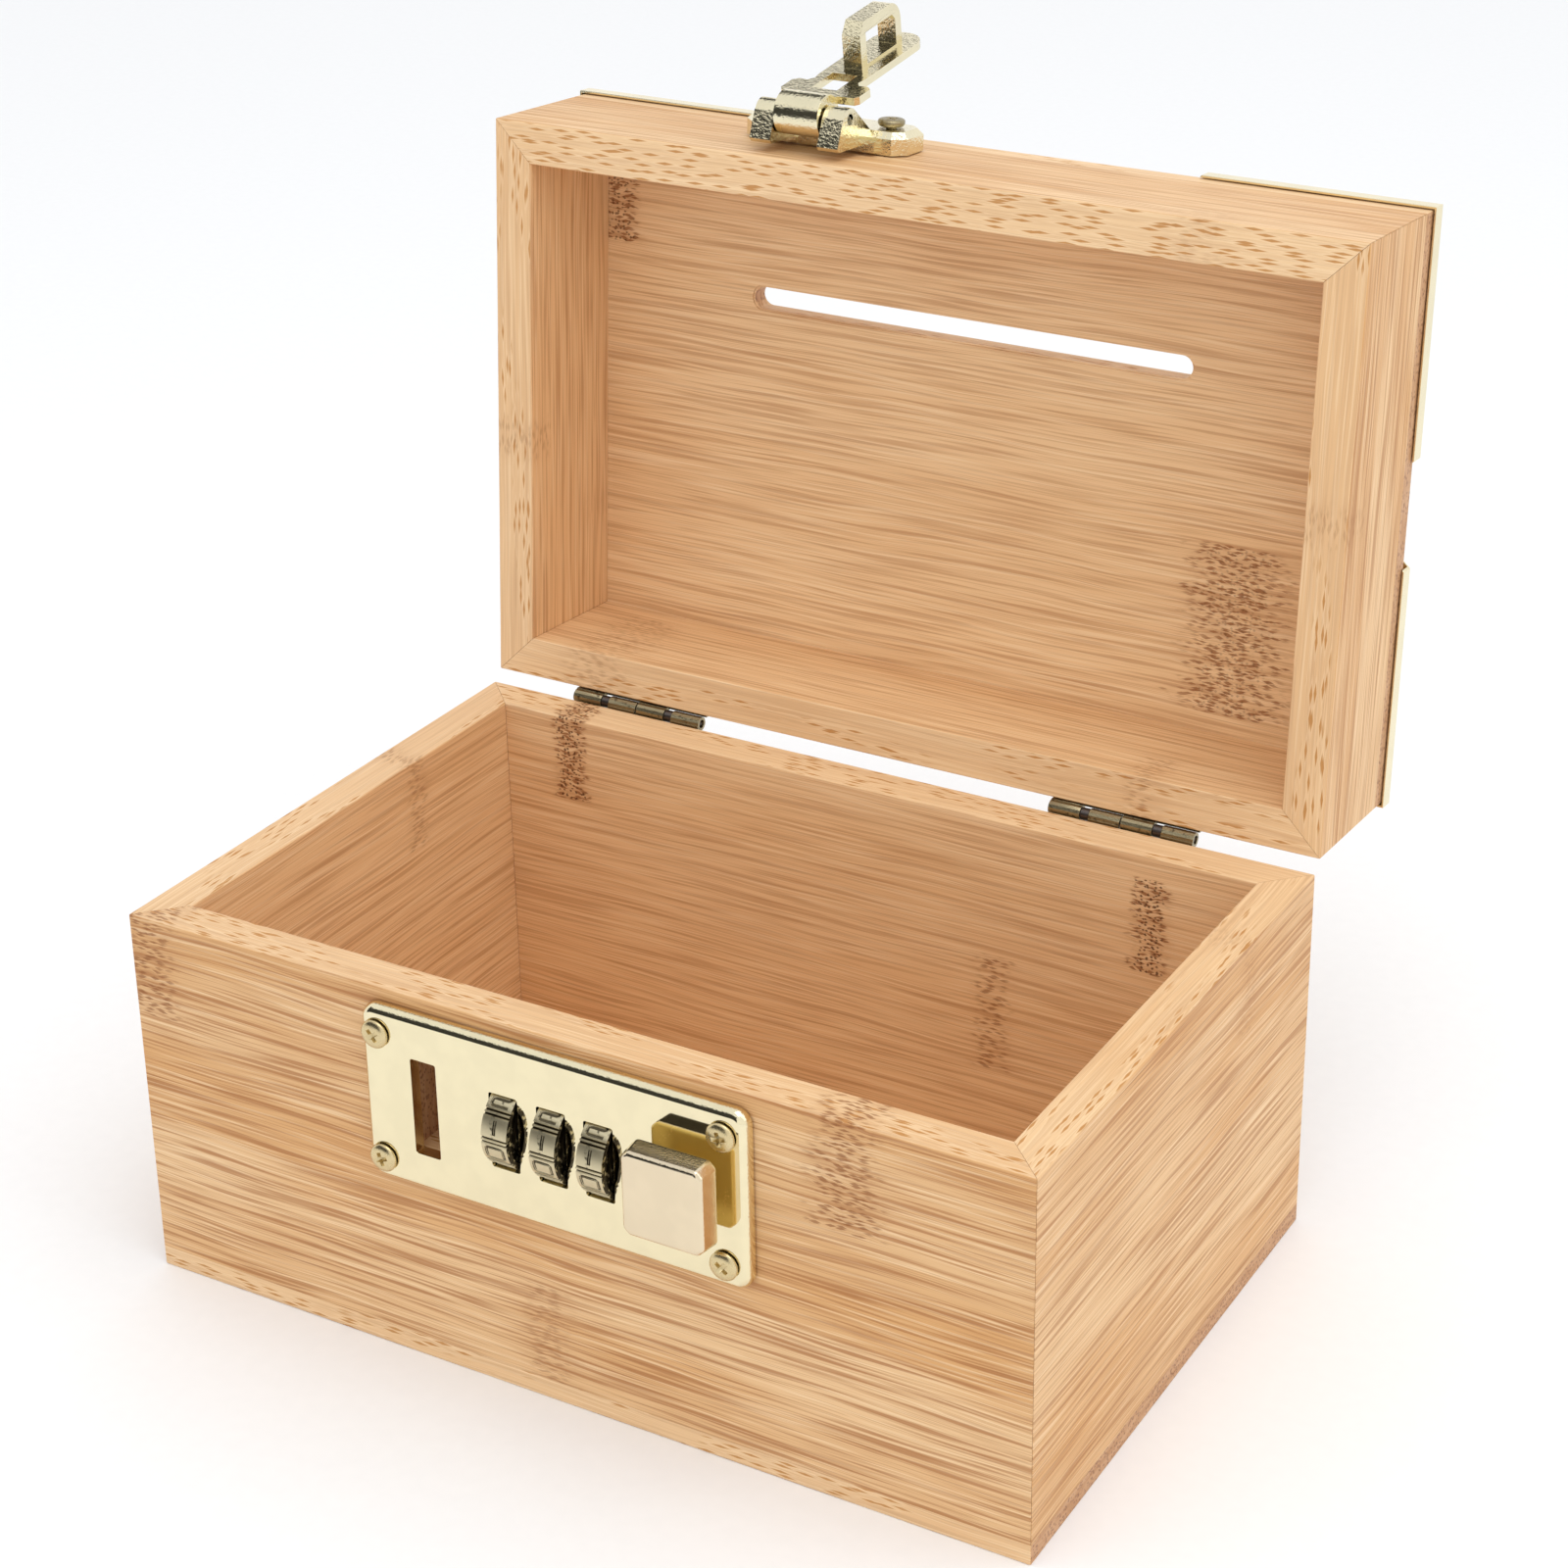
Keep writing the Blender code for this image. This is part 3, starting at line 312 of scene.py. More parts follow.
def bamboo(name, run_way, rise_way, seed, marks, lines, tone, inner, flecks=0.3):
    """Pressed bamboo. Fibres run along run_way, and strips lie side by side along rise_way.
    A mark is a culm node: (run, lowest rise, highest rise, half width, strength). lines is how
    strongly the fibres are drawn, and tone makes the strips darker. inner is where the depth
    passes from the lacquered outside to the bare inside; flecks is how many short cut fibres
    show on the narrow edges."""
    run_way, rise_way = Vector(run_way), Vector(rise_way)
    material, wire = new_material(name, Specular_IOR_Level=0.35)
    point = wire.node("TexCoord", output="Object")
    look = wire.node("TexCoord", output="Normal")
    place = point.along(run_way)
    run = place + seed * 37.0
    rise = point.along(rise_way)
    deep = point.along(run_way.cross(rise_way))
    sides = look.facing(rise_way)
    ends = look.facing(run_way)
    bare = deep.size().ramp(*inner) * (1.0 - sides)

    knots = None
    ragged = wire.vector(run / 9.0, rise * 0.5, deep * 0.5).noise(3.0) - 0.5
    for where_run, low, high, half, strength in marks:
        off = (place - where_run + ragged * (half * 1.8)).size()
        mask = off.ramp(half * 1.5, half * 0.3) * rise.ramp(low - 0.5, low + 0.5)
        mask = mask * rise.ramp(high + 0.5, high - 0.5) * strength
        knots = mask if knots is None else knots.most(mask)
    strip = wire.math("FLOOR", (rise + seed * 5.3) / STRIP)
    lot = wire.node("TexWhiteNoise", {"noise_dimensions": "1D"}, {"W": strip + seed * 11.0})

    drift = wire.vector(run / 55.0, rise / 16.0, deep / 16.0 + seed).noise(1.0) - 0.5
    bent = rise + drift * 2.6
    if knots is not None:
        swirl = wire.vector(run / 5.0, rise / 2.4, deep / 2.4).noise(1.0) - 0.5
        bent = bent + swirl * knots * 2.2
    where = wire.vector(run / 40.0, rise / 7.0, deep / 7.0 + seed * 3.0).noise(1.0)
    cloud = wire.vector(run / 70.0, rise / 14.0, seed * 1.7).noise(1.0)
    across = bent + deep
    hair = wire.vector(run / 22.0, across * 4.4, strip * 7.7).noise(1.0)
    light = wire.vector(run / 34.0, across * 1.8 + 31.0, strip * 5.1).noise(1.0)

    def spindles(length, pitch, full, gone, offset):
        """Long pointed marks that lie along the fibres, and the distance from their middles."""
        spot = wire.vector(run / length + offset, across / pitch + offset, 0.0)
        pointed = {"distance": "MANHATTAN", "voronoi_dimensions": "2D"}
        away = wire.node("TexVoronoi", pointed, {"Vector": spot, "Scale": 1.0})
        return away.ramp(gone, full), away

    body = (cloud * 0.6 + lot * 0.4 + (tone - 0.02)).ramp(0.26, 0.74)
    colour = body.blend(PALE, HONEY)
    colour = (cloud.ramp(0.50, 0.72) * 0.30).blend(colour, AMBER)
    colour = (bare * 0.70).blend(colour, BARE)
    colour = (light.ramp(0.52, 0.64) * 0.50).blend(colour, CREAM)
    thin = hair.ramp(0.50, 0.62) * (0.36 - bare * 0.10)
    colour = thin.blend(colour, FIBRE)
    broad, _ = spindles(80.0, 1.55, 0.20, 0.44, 0.0)
    fine, _ = spindles(52.0, 0.92, 0.18, 0.42, 9.3)
    drawn = (broad * where.ramp(0.30, 0.50)).most(fine * (where.ramp(0.62, 0.42) * 0.45 + 0.40))
    drawn = drawn * (0.74 - sides * 0.30 - bare * 0.22) * lines
    colour = drawn.blend(colour, FIBRE)
    colour = (sides * 0.40).blend(colour, CREAM)
    fleck, fleck_away = spindles(8.5, 1.05, 0.20, 0.36, 4.1)
    share = where.ramp(0.60 - flecks * 0.35, 0.66 - flecks * 0.35)
    colour = (fleck_away.ramp(0.62, 0.40) * sides * share * 0.35).blend(colour, CREAM)
    ticks = fleck * share * sides
    colour = (ticks * 0.85).blend(colour, GOLDEN)
    grooves = drawn + ticks * 0.9 + thin * 0.6
    if knots is not None:
        dashes, _ = spindles(3.2, 0.75, 0.30, 0.46, 2.2)
        pits, _ = spindles(1.30, 0.90, 0.20, 0.38, 6.6)
        shade = wire.vector(run / 6.0, rise / 3.0, deep / 3.0).noise(1.0).ramp(0.35, 0.65)
        colour = (knots * (shade * 0.30 + 0.12)).blend(colour, FIBRE)
        thick = knots.ramp(0.12, 0.60)
        colour = (thick * dashes * 0.80).blend(colour, DASH)
        core = knots.ramp(0.45, 0.85)
        colour = (core * pits * 0.90).blend(colour, SCAR)
        grooves = grooves + pits * core * 1.5 + dashes * thick * 0.8

    ends_on = wire.vector(rise * 1.05, deep * 1.45, seed)
    bundle = wire.node("TexVoronoi", None, {"Vector": ends_on, "Scale": 1.0})
    dots = bundle.ramp(0.42, 0.22)
    ply = wire.vector(rise * 0.12, deep * 0.9, seed).noise(1.0)
    grain_end = ply.ramp(0.3, 0.7).blend(END_PALE, END_DARK)
    grain_end = (dots * 0.75).blend(grain_end, END_BUNDLE)
    colour = ends.blend(colour, grain_end)
    sheen = hair * 0.12 + (grooves * 0.12 + 0.44)
    relief = 1.0 - grooves * (1.0 - ends) - dots * ends
    return feed(material, colour, sheen, relief, 0.05, 0.6)


box_low, box_high = shut_span("bottom_board")
HALF_W, HALF_D = box_high.x, box_high.y
FRONT = box_low.y
wall_low, wall_high = shut_span("front_wall")
CUT_PAST = 2.0


def eased_ring(name, rim, seam):
    """The four walls in one, with eased outer corners and rims. The seam side is left square."""
    thickness = abs(rim - seam) + CUT_PAST
    rectangle = [(-1, -1), (1, -1), (1, 1), (-1, 1)]
    loops = [[(x * (HALF_W - inset), y * (HALF_D - inset)) for x, y in rectangle]
             for inset in (0.0, WALL)]
    middle = rim - math.copysign(thickness / 2, rim - seam)
    ring = outline(name, loops, thickness, centre=(0.0, 0.0, middle))
    shape = bmesh.new()
    shape.from_mesh(ring.data)
    inner_x = (HALF_W - WALL / 2) * MM
    sharp = [edge for edge in shape.edges if edge.calc_face_angle(0.0) > 0.5]
    upright = [edge for edge in sharp if abs((edge.verts[0].co - edge.verts[1].co).z) > MM]
    hollow = [edge for edge in upright if abs(edge.verts[0].co.x) < inner_x]
    outer = [edge for edge in sharp if edge not in hollow]
    bmesh.ops.bevel(shape, geom=outer, offset=EASE * MM, segments=3, profile=0.5, affect="EDGES")
    shape.to_mesh(ring.data)
    shape.free()
    return ring


MITRE_REACH = 3.0


def mitred(name, side, rim, seam):
    """One wall: what two mitre cuts leave of the eased ring."""
    gap = (JOINT_LINE, 0.0) if side in ("front", "back") else (0.0, JOINT_LINE)
    near_x, near_y = HALF_W + MITRE_REACH - gap[0], HALF_D + MITRE_REACH - gap[1]
    far_x, far_y = HALF_W - WALL - MITRE_REACH - gap[0], HALF_D - WALL - MITRE_REACH - gap[1]
    loop = {"front": [(-near_x, -near_y), (near_x, -near_y), (far_x, -far_y), (-far_x, -far_y)],
            "back": [(-near_x, near_y), (near_x, near_y), (far_x, far_y), (-far_x, far_y)],
            "left": [(-near_x, -near_y), (-near_x, near_y), (-far_x, far_y), (-far_x, -far_y)],
            "right": [(near_x, -near_y), (near_x, near_y), (far_x, far_y), (far_x, -far_y)]}[side]
    top = rim + math.copysign(MITRE_REACH, rim - seam)
    wedge = outline("mitre_cut", [loop], abs(top - seam), centre=(0.0, 0.0, (top + seam) / 2))
    return work(eased_ring(name, rim, seam), "INTERSECT", wedge)


WIDE = ((1.0, 0.0, 0.0), (0.0, 0.0, 1.0))
LONG = ((0.0, 1.0, 0.0), (0.0, 0.0, 1.0))
INNER_LONG = (HALF_D - WALL + 1.0, HALF_D - WALL + 0.4)
INNER_SHORT = (HALF_W - WALL + 1.0, HALF_W - WALL + 0.4)
SEAM_GAP = 0.15
front_nodes = ((-96, 60, 84, 7, 0.50), (-4, -4, 26, 6, 0.34), (62, 59, 84, 8, 0.50))
back_nodes = ((-74, 62, 84, 4, 0.95), (68, 55, 77, 4, 0.90), (32, 22, 50, 5, 0.45))
left_nodes = ((20, 61, 84, 4, 0.35),)
right_nodes = ((-8, 20, 42, 6, 0.16), (30, 62, 84, 5, 0.26))
box_wood = {
    "front": bamboo("bamboo_front", *WIDE, 1, front_nodes, 1.0, 0.06, INNER_LONG, 0.45),
    "back": bamboo("bamboo_back", *WIDE, 2, back_nodes, 0.75, 0.0, INNER_LONG),
    "left": bamboo("bamboo_left", *LONG, 3, left_nodes, 0.8, -0.02, INNER_SHORT),
    "right": bamboo("bamboo_right", *LONG, 4, right_nodes, 0.8, 0.03, INNER_SHORT),
}
CASE_ROOM = 0.3
STAPLE_POCKET = ((-31.9, -22.6), 7.5, (49.2, 71.0))
BOLT_CHANNEL = ((-23.6, -17.5), 4.8, (56.6, 63.9))
for side, wood in box_wood.items():
    wall = mitred(f"bamboo_{side}_wall", side, wall_high.z, wall_low.z - SEAM_GAP)
    if side == "front":
        case_low, case_high = shut_span("lock_case")
        cuts = [block("case_window", (case_low.x - CASE_ROOM, case_high.x + CASE_ROOM),
                      (FRONT - CUT_PAST, FRONT + WALL + CUT_PAST),
                      (case_low.z - CASE_ROOM, case_high.z + CASE_ROOM))]
        for across, depth, rise in (STAPLE_POCKET, BOLT_CHANNEL):
            cuts.append(block("pocket", across, (FRONT - CUT_PAST, FRONT + depth), rise))
        work(wall, "DIFFERENCE", *cuts)
    wall.data.materials.clear()
    wall.data.materials.append(wood)
    hang(soften(wall), "box", f"{side}_wall")

# ---------------------------------------------------------------------------------------------
# Bottom board. Thin pressed bamboo, glued under the walls; its sawn ends show on the short sides
# as a speckle of cut fibre bundles.
# ---------------------------------------------------------------------------------------------


def board(name, outside, seam, wood):
    """A flat board with its outer edges eased and its seam side square."""
    past = math.copysign(CUT_PAST, seam - outside)
    piece = block(name, (-HALF_W, HALF_W), (-HALF_D, HALF_D), sorted((outside, seam + past)))
    ease(piece, EASE)
    keep = block("seam_cut", (-HALF_W - CUT_PAST, HALF_W + CUT_PAST),
                 (-HALF_D - CUT_PAST, HALF_D + CUT_PAST), sorted((outside - past, seam)))
    work(piece, "INTERSECT", keep)
    piece.data.materials.clear()
    piece.data.materials.append(wood)
    return piece


FLAT = ((1.0, 0.0, 0.0), (0.0, 1.0, 0.0))
bottom_wood = bamboo("bamboo_bottom", *FLAT, 5, ((40, -20, 10, 6, 0.5),), 0.8, 0.0,
                     (box_high.z - 0.6, box_high.z - 0.2))
bottom = board("bamboo_bottom_board", box_low.z, box_high.z, bottom_wood)
hang(soften(bottom), "box", "bottom_board")

# ---------------------------------------------------------------------------------------------
# Lid. Four low mitred walls under a top board with a routed coin slot. It is made shut and hung
# open, so its grain stays with it as it swings.
# ---------------------------------------------------------------------------------------------
lid_low, lid_high = shut_span("lid_front_wall")
top_low, top_high = shut_span("lid_top_board")
lid_front_nodes = ((64, 80, 92, 9, 0.25),)
lid_back_nodes = ((-74, 82, 108, 10, 0.32), (60, 80, 94, 5, 0.34))
lid_left_nodes = ((8, 80, 90, 5, 0.32), (30, 104, 120, 5, 0.2))
lid_right_nodes = ((-6, 80, 92, 5, 0.30),)
lid_wood = {
    "front": bamboo("bamboo_lid_front", *WIDE, 6, lid_front_nodes, 0.55, -0.02, INNER_LONG, 1.0),
    "back": bamboo("bamboo_lid_back", *WIDE, 7, lid_back_nodes, 0.8, 0.0, INNER_LONG),
    "left": bamboo("bamboo_lid_left", *LONG, 8, lid_left_nodes, 0.9, 0.04, INNER_SHORT),
    "right": bamboo("bamboo_lid_right", *LONG, 9, lid_right_nodes, 0.8, 0.05, INNER_SHORT),
}
for side, wood in lid_wood.items():
    wall = mitred(f"bamboo_lid_{side}_wall", side, lid_low.z, lid_high.z + SEAM_GAP)
    wall.data.materials.clear()
    wall.data.materials.append(wood)
    hang(soften(wall), "lid", f"lid_{side}_wall")

SLOT_REACH = 50.1
SLOT_RADIUS = 2.5
SLOT_Y = -24.4
SLOT_LIP = 0.4
LIP_DEPTH = 0.25


def arc(centre, radius, first, last, steps):
    """Points on an arc, angles in degrees."""
    angles = [math.radians(first + (last - first) * step / steps) for step in range(steps + 1)]
    return [(centre[0] + radius * math.cos(angle), centre[1] + radius * math.sin(angle))
            for angle in angles]


lid_top_nodes = ((-88, -60, -32, 5, 0.75), (92, -52, -36, 5, 0.7), (66, 12, 50, 12, 0.62))
lid_board_wood = bamboo("bamboo_lid_top", *FLAT, 10, lid_top_nodes, 0.8, 0.04,
                        (top_low.z + 0.6, top_low.z + 0.2))
lid_board = board("bamboo_lid_top_board", top_high.z, top_low.z, lid_board_wood)
slot_loop = arc((SLOT_REACH, 0.0), SLOT_RADIUS, -90, 90, 12)
slot_loop += arc((-SLOT_REACH, 0.0), SLOT_RADIUS, 90, 270, 12)
slot_cuts = ((0.0, top_low.z - 3, top_high.z + 3),
             (SLOT_LIP, top_low.z - 1, top_low.z + LIP_DEPTH),
             (SLOT_LIP, top_high.z - LIP_DEPTH, top_high.z + 1))
for lip, low, high in slot_cuts:
    grown = [(x + math.copysign(lip, x) * (abs(y) < SLOT_RADIUS), y * (1 + lip / SLOT_RADIUS))
             for x, y in slot_loop]
    middle = (0.0, SLOT_Y, (low + high) / 2)
    work(lid_board, "DIFFERENCE", outline("coin_slot_cut", [grown], high - low, centre=middle))
hang(soften(lid_board), "lid", "lid_top_board")

# ---------------------------------------------------------------------------------------------
# Lock plate. Die-cast, gilt-plated and polished, with a rolled edge; slots for the hasp's staple,
# the three wheels and the knob's neck. Four Phillips screws hold it to the front wall.
# ---------------------------------------------------------------------------------------------
PLATE_CORNER = 3.2
plate_low, plate_high = shut_span("lock_plate")
PLATE_FACE = plate_low.y
BLACKENED = (0.05, 0.04, 0.03, 1.0)


def metal(name, colour, roughness, grain, grain_size=0.35, wear=0.0, dark=BLACKENED, flat=None,
          metallic=1.0):
    """Plated metal. grain is the relief of the casting skin, left off faces that look along flat;
    wear lets a darker patina lie in cloudy patches."""
    material, wire = new_material(name, Metallic=metallic)
    point = wire.node("TexCoord", output="Object")
    x, y, z = (point.along(way) for way in ((1, 0, 0), (0, 1, 0), (0, 0, 1)))
    smear = wire.vector(x / 6.0, y / 6.0, z / 6.0).noise(2.0)
    skin = wire.vector(x / grain_size, y / grain_size, z / grain_size).noise(2.0, 0.6)
    ripple = wire.vector(x / 4.5, y / 4.5, z / 4.5).noise(1.0)
    deeper = tuple(value * 0.96 for value in colour[:3]) + (1.0,)
    tint = smear.ramp(0.35, 0.65).blend(colour, deeper)
    if wear:
        patina = wire.vector(x / 1.3, y / 1.3, z / 1.3).noise(3.0, 0.6)
        patina = patina.ramp(0.62 - wear * 0.3, 0.72 - wear * 0.2)
        tint = (patina * 0.8).blend(tint, dark)
    rough = smear * 0.04 + (roughness - 0.02) + skin * 0.03
    amount = grain
    if flat is not None:
        look = wire.node("TexCoord", output="Normal")
        amount = (1.0 - look.facing(flat)) * grain
    height = ripple * 0.10 + skin * amount
    return feed(material, tint, rough, height, 0.02, 0.5)


GILT = (0.870, 0.775, 0.520, 1.0)
gilt_plate = metal("gilt_plate", GILT, 0.035, 4.0, flat=(0, 1, 0))


def rounded(centre, size, radius, steps=8):
    """Corner arcs of a rectangle, counter-clockwise."""
    half_x, half_y = size[0] / 2 - radius, size[1] / 2 - radius
    points = []
    for quarter, (side_x, side_y) in enumerate(((1, 1), (-1, 1), (-1, -1), (1, -1))):
        middle = (centre[0] + side_x * half_x, centre[1] + side_y * half_y)
        points += arc(middle, radius, 90 * quarter, 90 * (quarter + 1), steps)
    return points


ROLL = ((24, 0.28), (30, 0.28), (36, 0.28), (42, 0.28), (50, 0.28), (62, 0.42), (74, 0.42), (84, 0.42))


def rolled_plate(name, centre, size, corner, back, face):
    """A plate facing -Y whose rim turns over, steeper at each step of ROLL (tilt, length).
    back and face are distances along Y."""
    shape = bmesh.new()
    rings = [(0.0, back)]
    out, down = 0.0, 0.0
    reach = sum(math.cos(math.radians(tilt)) * length for tilt, length in ROLL)
    profile = [(reach, 0.0)]
    for tilt, length in ROLL:
        out += math.cos(math.radians(tilt)) * length
        down += math.sin(math.radians(tilt)) * length
        profile.append((reach - out, down))
    rings += [(inset, face + fall) for inset, fall in reversed(profile)]
    loops = []
    for inset, y in rings:
        inner = (size[0] - 2 * inset, size[1] - 2 * inset)
        points = rounded(centre, inner, max(corner - inset, 0.4))
        loops.append([shape.verts.new((x * MM, y * MM, z * MM)) for x, z in points])
    for first, second in zip(loops, loops[1:]):
        for here in range(len(first)):
            after = (here + 1) % len(first)
            shape.faces.new((first[here], first[after], second[after], second[here]))
    shape.faces.new(loops[0])
    shape.faces.new(loops[-1])
    bmesh.ops.recalc_face_normals(shape, faces=shape.faces)
    return new_piece(name, shape)


def middle_of(low, high):
    return (low + high) / 2


plate_middle = middle_of(plate_low, plate_high)
plate_size = (plate_high.x - plate_low.x, plate_high.z - plate_low.z)
plate = rolled_plate("gilt_lock_plate", (plate_middle.x, plate_middle.z), plate_size, PLATE_CORNER,
                     plate_high.y, PLATE_FACE)
THROUGH = (PLATE_FACE - 2.0, FRONT + 1.0)
STAPLE_SLOT = ((-30.3, -24.6), (49.7, 70.4))
NECK_SLOT = ((18.4, 33.1), (56.85, 63.65))
WHEEL_SLOT = (6.3, 16.1)
wheel_middles = [middle_of(*shut_span(f"number_wheel_{number}")) for number in (1, 2, 3)]


def slot_cutter(x, z):
    """Cuts a slot with small corner radii right through the plate."""
    loop = rounded(((x[0] + x[1]) / 2, (z[0] + z[1]) / 2), (x[1] - x[0], z[1] - z[0]), 0.4, 3)
    depth = THROUGH[1] - THROUGH[0]
    return outline("slot_cut", [loop], depth, "-Y", (0.0, sum(THROUGH) / 2, 0.0))


cutters = [slot_cutter(*STAPLE_SLOT), slot_cutter(*NECK_SLOT)]
for middle in wheel_middles:
    across, rise = WHEEL_SLOT[0] / 2, WHEEL_SLOT[1] / 2
    cutters.append(slot_cutter((middle.x - across, middle.x + across), (middle.z - rise, middle.z + rise)))
work(plate, "DIFFERENCE", *cutters)
ease(plate, 0.18, 2, 60.0)
plate.data.materials.clear()
plate.data.materials.append(gilt_plate)
hang(soften(plate, 40.0), "box", "lock_plate")


def turned(name, profile, segments=40):
    """A turned piece about Z, from (radius, height) points that run from its top to its foot."""
    shape = bmesh.new()
    rings = []
    for radius, height in profile:
        turn = [2 * math.pi * step / segments for step in range(segments if radius else 1)]
        ring = [Vector((radius * math.cos(a), radius * math.sin(a), height)) * MM for a in turn]
        rings.append([shape.verts.new(place) for place in ring])
    for upper, lower in zip(rings, rings[1:]):
        for step in range(segments):
            after = (step + 1) % segments
            corners = [upper[step % len(upper)], upper[after % len(upper)],
                       lower[after % len(lower)], lower[step % len(lower)]]
            shape.faces.new(list(dict.fromkeys(corners)))
    bmesh.ops.recalc_face_normals(shape, faces=shape.faces)
    return new_piece(name, shape)


FLOOR_LONG = 0.45
FLOOR_SHORT = 0.7


def cross_screw(name, profile, reach, width, depth, material):
    """A screw head and shank with a cross recess that narrows towards its floor."""
    piece = turned(name, profile)
    crown = profile[0][1]
    for across, other in ((reach, width), (width, reach)):
        arm = block("recess", (-across, across), (-other, other), (crown - depth, crown + 1.0))
        for vertex in arm.data.vertices:
            if vertex.co.z < crown * MM:
                vertex.co.x *= FLOOR_LONG if across == reach else FLOOR_SHORT
                vertex.co.y *= FLOOR_SHORT if across == reach else FLOOR_LONG
        work(piece, "DIFFERENCE", arm)
    ease(piece, 0.07, 2, 40.0)
    piece.data.materials.clear()
    piece.data.materials.append(material)
    return soften(piece, 45.0)


def drive(pattern, name, node, body, head, direction, roll):
    """Set a copy of a screw where its plain solid is, head out along -Y, +Y or +Z, turned by roll."""
    low, high = shut_span(node)
    middle = middle_of(low, high)
    seat = {"-Y": (middle.x, low.y + head, middle.z), "Y": (middle.x, high.y - head, middle.z),
            "Z": (middle.x, middle.y, high.z - head)}[direction]
    mesh = pattern.data.copy()
    mesh.transform(TURN[direction] @ Matrix.Rotation(math.radians(roll), 4, "Z"))
    screw = bpy.data.objects.new(name, mesh)
    bpy.context.scene.collection.objects.link(screw)
    return hang(screw, body, node, place=seat)


PLATE_HEAD = 1.3
plate_profile = [(0.0, 1.1), (1.2, 1.08), (2.0, 0.96), (2.55, 0.74), (2.9, 0.46), (3.0, 0.24), (2.96, 0.0),
                 (1.4, 0.0), (1.4, -7.0), (0.0, -9.0)]
gilt_screw = metal("gilt_screw", (0.70, 0.57, 0.32, 1.0), 0.26, 2.0, 0.4)
plate_screw = cross_screw("plate_screw_pattern", plate_profile, 2.05, 0.55, 1.0, gilt_screw)
for number, roll in enumerate((38, 12, 20, 52), 1):
    drive(plate_screw, f"gilt_plate_screw_{number}", f"plate_screw_{number}", "box", PLATE_HEAD, "-Y",
          roll)
bpy.data.objects.remove(plate_screw)

# ---------------------------------------------------------------------------------------------
# Number wheels. Cast brass, blackened and rubbed bright on the high spots; ten lands with a thin
# ridge between neighbours and a digit engraved in each.
# ---------------------------------------------------------------------------------------------
WHEEL_RADIUS = 9.0
WHEEL_WIDTH = 5.7
WHEEL_BORE = 4.9
LAND = 36.0
LOWEST_LAND = -18.0
GROOVE = 0.42
DISH = (7.9, 5.9, 1.2)
STROKE = {"A": (-1, 1), "B": (1, 1), "C": (1, 0), "D": (1, -1), "E": (-1, -1), "F": (-1, 0), "G": (0, 1),
          "H": (0, -1)}
DIGITS = (("ABDEA",), ("GH",), ("ABCFED",), ("ABDE", "FC"), ("AFC", "BD"), ("BAFCDE",), ("BAEDC", "FC"),
          ("ABH",), ("ABDEA", "FC"), ("DBAF", "FC"))
DIGIT_HALF = (1.85, 1.45)
STROKE_RADIUS = 0.38
BRASS_DARK = (0.035, 0.026, 0.015, 1.0)
BRASS_BRIGHT = (0.64, 0.56, 0.37, 1.0)


def brass_with_patina(name):
    """Antique brass: bright where a wheel stands proud of its own rim, dark in its cuts and sides."""
    material, wire = new_material(name, Metallic=1.0)
    point = wire.node("TexCoord", output="Object")
    x, y, z = (point.along(way) for way in ((1, 0, 0), (0, 1, 0), (0, 0, 1)))
    radius = wire.math("SQRT", y * y + z * z)
    look = wire.node("TexCoord", output="Normal")
    flank = look.facing((1, 0, 0))
    rub = wire.vector(x / 1.6, y / 1.6, z / 1.6).noise(3.0, 0.62)
    proud = radius.ramp(WHEEL_RADIUS - GROOVE, WHEEL_RADIUS - 0.1)
    bright = proud * (1.0 - flank) * rub.ramp(0.22, 0.42) + flank * rub.ramp(0.55, 0.60) * 0.8
    tint = bright.blend(BRASS_DARK, BRASS_BRIGHT)
    skin = wire.vector(x / 0.3, y / 0.3, z / 0.3).noise(2.0)
    return feed(material, tint, 0.46 - bright * 0.06, skin + rub * 0.5, 0.02, 0.6)


def rim_loop():
    """Ten lands with a thin ridge between two grooves at each boundary, from straight below."""
    half_land = [(17.2, 0.0), (16.0, GROOVE), (14.6, GROOVE), (13.3, 0.0), (8.8, 0.0), (4.4, 0.0)]
    steps = [(-offset, drop) for offset, drop in half_land] + [(0.0, 0.0)] + half_land[::-1]
    points = []
    for land in range(10):
        for offset, drop in steps:
            angle = math.radians(LAND * land + offset)
            radius = WHEEL_RADIUS - drop
            points.append((radius * math.cos(angle), radius * math.sin(angle)))
    return points


def circle(radius, segments=48):
    turn = [2 * math.pi * step / segments for step in range(segments)]
    return [(radius * math.cos(angle), radius * math.sin(angle)) for angle in turn]


def on_rim(x, height, turn):
    """A point just above the rim; turn is in degrees up from the front."""
    angle = math.radians(turn) + height / WHEEL_RADIUS
    radius = WHEEL_RADIUS + 0.02
    return Vector((x, -radius * math.cos(angle), radius * math.sin(angle))) * MM


